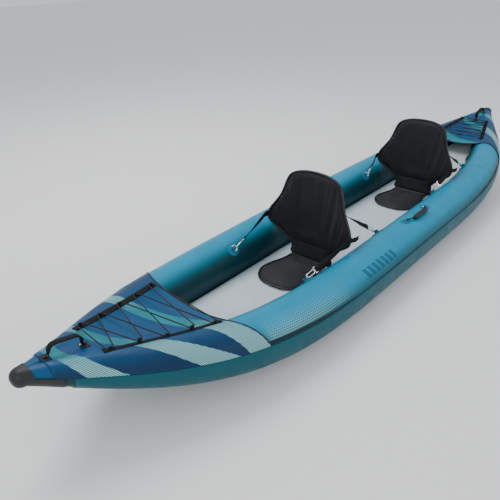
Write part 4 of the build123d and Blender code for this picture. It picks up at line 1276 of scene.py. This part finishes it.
def pad_outline(shrink=0.0):
    half = curve_points([Vector((x, y, 0)) for x, y in PAD_EDGE], 6)
    full = half + [Vector((p.x, -p.y, 0)) for p in reversed(half[1:])]
    even = even_points(full, 120)
    if not shrink:
        return even
    out = []
    for k, p in enumerate(even):
        run = (even[(k + 1) % len(even)] - even[k - 1]).normalized()
        out.append(p - Vector((run.y, -run.x, 0)) * shrink)
    centre = sum(even, Vector()) / len(even)
    fixed = []
    for p, q in zip(even, out):
        fixed.append(q if (q - centre).length < (p - centre).length else p * 2 - q)
    return fixed


def fill_between(outline, centre, steps):
    """Rings from the outline in to its centre line, as (ring index, points)."""
    rings = []
    for k in range(steps + 1):
        t = k / steps
        ring = []
        for p in outline:
            inner = Vector((centre.x + (p.x - centre.x) * 0.35, p.y * 0.05, 0))
            ring.append(p.lerp(inner, t))
        rings.append(ring)
    return rings


def seat_pad(seat, shift):
    """Firm base pad, flat underneath, crowned on top, thin at the rim."""
    outline = pad_outline(0.004)
    centre = Vector((0.61, 0, 0))
    steps, count = 14, len(outline)
    rings = fill_between(outline, centre, steps)
    points, faces = [], []
    for top in (True, False):
        for k, ring in enumerate(rings):
            t = k / steps
            for p in ring:
                x = p.x + shift
                low = floor_height(x) + 0.0006
                rise = PAD_TOP - 0.006 - floor_height(0.6) if top else 0
                rim = 0.006 if top else 0
                body = mix(rim, rise, min(1.0, (1 - (1 - t) ** 2.6) ** 0.5)) if top else 0
                points.append(Vector((x, p.y, low + body)))
    ring_count = steps + 1
    for layer in (0, 1):
        base = layer * ring_count * count
        for k in range(steps):
            for j in range(count):
                n = (j + 1) % count
                a, b = base + k * count + j, base + k * count + n
                faces.append((a, b, b + count, a + count))
        faces.append(tuple(base + steps * count + j for j in range(count)))
    low_start = ring_count * count
    for j in range(count):
        n = (j + 1) % count
        faces.append((j, n, low_start + n, low_start + j))
    obj = new_object(f"{seat}_seat_cushion", points, faces, MAT["pad"])
    face_out(obj)
    return obj


def back_point(seat, y, up, push=0.0):
    """Point on a back's middle surface: y across, up from the hinge, push forward."""
    bend = BACK_BEND - math.sqrt(BACK_BEND ** 2 - y * y)
    bend *= smooth(0.030, 0.090, up)
    x, z = bend + push, up
    turn_x = x * math.cos(BACK_LEAN) - z * math.sin(BACK_LEAN)
    turn_z = x * math.sin(BACK_LEAN) + z * math.cos(BACK_LEAN)
    return PIVOT[seat] + Vector((turn_x, y, turn_z))


def back_outline():
    half = curve_points([Vector((y, z, 0)) for y, z in BACK_EDGE], 6)
    return half


def half_width_at(outline, up):
    best = 0.0
    for a, b in zip(outline, outline[1:]):
        low, high = min(a.y, b.y), max(a.y, b.y)
        if low - 1e-9 <= up <= high + 1e-9 and high > low:
            best = max(best, a.x + (b.x - a.x) * (up - a.y) / (b.y - a.y))
    return best


def seat_back(seat):
    """Padded back as a closed shell, crowned between its edges, with gathers in its front."""
    outline = back_outline()
    rows, columns = 96, 100
    top = BACK_EDGE[-1][1] - 0.002
    points, faces = [], []
    for layer in (1, -1):
        for i in range(rows):
            up = mix(0.000, top, i / (rows - 1))
            half = max(half_width_at(outline, up) - 0.003, 0.004)
            for j in range(columns):
                t = 2 * j / (columns - 1) - 1
                y = half * math.sin(t * math.pi / 2)
                rim = min((1 - abs(y) / half) * half / 0.03, (top - up) / 0.03, 1)
                full = max(rim, 0.0) ** 0.5 if rim < 1 else 1.0
                thick = BACK_THICK / 2 * mix(0.35, 0.92, full)
                if layer > 0:
                    thick += gathers(y, up, half) * full
                points.append(back_point(seat, y, up, layer * thick))
    block = rows * columns
    for layer in (0, 1):
        for i in range(rows - 1):
            for j in range(columns - 1):
                a = layer * block + i * columns + j
                faces.append((a, a + 1, a + columns + 1, a + columns))
    for i in range(rows - 1):
        for j in (0, columns - 1):
            a = i * columns + j
            faces.append((a, a + columns, block + a + columns, block + a))
    for j in range(columns - 1):
        for i in (0, rows - 1):
            a = i * columns + j
            faces.append((a, a + 1, block + a + 1, block + a))
    obj = new_object(f"{seat}_seat_back", points, faces, MAT["seat"])
    face_out(obj)
    return obj


def gathers(y, up, half):
    """Folds that hang from the top rim and fade towards the lumbar band."""
    under_rim = smooth(0.455, 0.440, up) * smooth(0.10, 0.22, up)
    strength = 0.0085 * under_rim * smooth(0.97, 0.80, abs(y) / half)
    fan = y / (0.55 + 0.9 * up)
    folds = slow_noise((fan * 22, up * 1.6, 0), 1.0, 4) + 0.5 * slow_noise((fan * 52, up * 2.6, 0), 1.0, 9)
    folds *= mix(0.35, 1.0, smooth(0.03, 0.12, abs(y)))
    crease = -0.0030 * math.exp(-((up - 0.088 - 0.35 * y * y) / 0.006) ** 2)
    sag = 0.0055 * math.exp(-((up - 0.125) / 0.030) ** 2) * (1 - min(abs(y) / 0.15, 1) ** 2)
    return strength * folds + crease + sag


# %% [markdown]
# ### The cloth pass
# The shell is remeshed evenly, swollen by pressure with gravity off, and each point is then
# held close to where it began, so the pad keeps its place in the hull.
# %% Cloth pass
def swell(obj, pressure, most, fixed, voxel=0.005):
    """Blow a pad up a little; fixed(point) says which points stay."""
    change = obj.modifiers.new("even", "REMESH")
    change.mode, change.voxel_size = "VOXEL", voxel
    apply_modifiers(obj)
    start = [vertex.co.copy() for vertex in obj.data.vertices]
    group = obj.vertex_groups.new(name="held")
    for vertex in obj.data.vertices:
        group.add([vertex.index], fixed(vertex.co), "REPLACE")
    cloth = obj.modifiers.new("cloth", "CLOTH")
    cloth.settings.quality = 5
    cloth.settings.mass = 0.3
    cloth.settings.tension_stiffness = cloth.settings.compression_stiffness = 18
    cloth.settings.bending_stiffness = 4
    cloth.settings.use_pressure = True
    cloth.settings.uniform_pressure_force = pressure
    cloth.settings.effector_weights.gravity = 0
    cloth.settings.vertex_group_mass = "held"
    cloth.collision_settings.use_collision = False
    cloth.point_cache.frame_start, cloth.point_cache.frame_end = 1, 14
    for step in range(1, 15):
        bpy.context.scene.frame_set(step)
    apply_modifiers(obj)
    bpy.context.scene.frame_set(1)
    for vertex, before in zip(obj.data.vertices, start):
        move = vertex.co - before
        if move.length > most:
            vertex.co = before + move.normalized() * most
    obj.vertex_groups.clear()


def finish_pad(obj, level=1):
    change = obj.modifiers.new("smooth", "SUBSURF")
    change.levels = change.render_levels = level
    apply_modifiers(obj)
    for polygon in obj.data.polygons:
        polygon.use_smooth = True


def make_seat(seat, shift):
    body = f"{seat}_backrest_body"
    pad = seat_pad(seat, shift)
    swell(pad, 2.5, 0.003, lambda p: 1.0 if p.z < floor_height(p.x) + 0.009 else 0.0)
    for vertex in pad.data.vertices:
        vertex.co.z = max(vertex.co.z, floor_height(vertex.co.x) + CLEAR)
    finish_pad(pad)
    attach(pad, "hull")
    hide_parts(f"{seat}_seat_pad")
    rim = [Vector((p.x + shift, p.y, floor_height(p.x + shift) + 0.0105)) for p in pad_outline()]
    piping = tube_along(f"{seat}_cushion_piping", rim, 0.0052, MAT["piping"], closed=True)
    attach(piping, "hull")

    back = seat_back(seat)
    outline = back_outline()
    swell(back, 2.2, 0.004, lambda p: 0.0)
    for vertex in back.data.vertices:
        vertex.co.z = max(vertex.co.z, PIVOT[seat].z - BACK_THICK / 2)
    finish_pad(back)
    back.data.materials.append(MAT["pad"])
    for polygon in back.data.polygons:
        low = polygon.center.z - PIVOT[seat].z
        polygon.material_index = 1 if low < 0.084 else 0
    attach(back, body)
    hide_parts(f"{seat}_backrest")
    trim = [back_point(seat, p.x, p.y) for p in outline[6:]]
    left = [back_point(seat, -p.x, p.y) for p in outline[6:]]
    path = trim + list(reversed(left[:-1]))
    edge = tube_along(f"{seat}_back_piping", path, 0.0066, MAT["piping"])
    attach(edge, body)
    roll = [back_point(seat, mix(-0.122, 0.122, k / 10), 0.0) for k in range(11)]
    hinge = tube_along(f"{seat}_hinge_roll", roll, BACK_THICK / 2 - 0.0004, MAT["seat"], sides=20)
    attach(hinge, body)
    sew_lines(seat, body)


def sew_lines(seat, body):
    """Stitches along the top rim and the lumbar seam."""
    stitch = [Vector((-0.0022, 0, 0)), Vector((0, 0, 0.0004)), Vector((0.0022, 0, 0))]
    shape = tube_along(f"{seat}_stitch", stitch, 0.0005, MAT["thread"], sides=6)
    places = []
    for up, reach in ((0.452, 0.135), (0.080, 0.118), (0.064, 0.115)):
        steps = int(2 * reach / 0.0075)
        for k in range(steps + 1):
            y = mix(-reach, reach, k / steps)
            lift = up - 0.10 * (y / reach) ** 6 * 0.1
            base = back_point(seat, y, lift, BACK_THICK / 2 * 0.92 + 0.0006)
            ahead = back_point(seat, y + 0.002, lift, BACK_THICK / 2 * 0.92 + 0.0006)
            run = (ahead - base).normalized()
            places.append((base, axes(run, Vector((0, 0, 1)).cross(run) * -1)))
    row = row_of(f"{seat}_back_stitches", shape, places, MAT["thread"])
    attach(row, body)
    bpy.data.objects.remove(shape)


make_seat("front", 0.0)
make_seat("rear", SEAT_SHIFT)

# %% [markdown]
# ## Fittings kept from the solid model
# Rings, hooks, gates, ladder locks, valves and the fin box already have their right shape, so
# they only get a better material, on the slots they already have.
# %% Kept fittings
def paint(node, material):
    for slot in bpy.data.objects[node].material_slots:
        slot.material = material


for label in ("bow", "stern"):
    paint(f"{label}_bungee", MAT["cord"])
    paint(f"{label}_handle_anchors", MAT["webbing_plain"])
paint("stern_cord_lock", MAT["plastic"])
paint("carry_handle_anchors", MAT["patch"])
paint("d_ring_patches", MAT["patch"])
paint("d_rings", MAT["steel"])
paint("fin_box", MAT["plastic"])
for label in ("port", "starboard", "floor"):
    paint(f"{label}_valve_body", MAT["valve"])
    paint(f"{label}_valve_cap", MAT["valve"])
    paint(f"{label}_valve_plunger", MAT["valve"])
for seat in ("front", "rear"):
    paint(f"{seat}_seat_ladder_locks", MAT["plastic"])
    paint(f"{seat}_seat_snap_hooks", MAT["steel"])
    for side in ("port", "starboard"):
        for end in ("front", "rear"):
            paint(f"{seat}_seat_{side}_{end}_gate", MAT["steel"])
for label in ("port", "starboard"):
    paint(f"{label}_bladder", MAT["film"])

# %% [markdown]
# ## Studio
# A plain pale floor, a large soft light from above and a weaker one from each side, and the
# camera off the port bow, looking down.
# %% Studio
def area_light(name, place, target, size, power, colour=(1, 1, 1)):
    data = bpy.data.lights.new(name, "AREA")
    data.shape = "DISK"
    data.size, data.energy, data.color = size, power, colour
    light = bpy.data.objects.new(name, data)
    light.location = place
    light.rotation_euler = (Vector(target) - Vector(place)).to_track_quat("-Z", "Y").to_euler()
    bpy.context.collection.objects.link(light)


def studio():
    floor, _, shader = new_material("studio_floor")
    shader.inputs["Base Color"].default_value = (0.86, 0.86, 0.86, 1)
    shader.inputs["Roughness"].default_value = 0.9
    points = [(-30, -30, 0), (30, -30, 0), (30, 30, 0), (-30, 30, 0)]
    plane = new_object("studio_ground", points, [(0, 1, 2, 3)], floor)
    world = bpy.data.worlds.new("studio_world")
    bpy.context.scene.world = world
    world.use_nodes = True
    back = world.node_tree.nodes["Background"]
    back.inputs["Color"].default_value = (0.93, 0.96, 1.0, 1)
    back.inputs["Strength"].default_value = 0.8
    area_light("key", (0.6, -2.2, 4.6), (0.2, 0, 0.2), 3.0, 150)
    area_light("bow_fill", (5.0, 2.6, 2.8), (0.6, 0, 0.2), 2.0, 60)
    area_light("port_fill", (-1.5, 5.0, 2.2), (-0.2, 0, 0.2), 2.4, 45)


def camera():
    right = Vector((-0.671, 0.741, -0.038)).normalized()
    back = Vector((0.633, 0.599, 0.491)).normalized()
    up = back.cross(right).normalized()
    right = up.cross(back).normalized()
    data = bpy.data.cameras.new("studio_camera")
    data.lens, data.sensor_width = 36.28, 36.0
    view = bpy.data.objects.new("studio_camera", data)
    turn = Matrix((right, up, back)).transposed().to_4x4()
    view.matrix_world = Matrix.Translation((2.391, 1.400, 1.502)) @ turn
    bpy.context.collection.objects.link(view)
    bpy.context.scene.camera = view


studio()
camera()
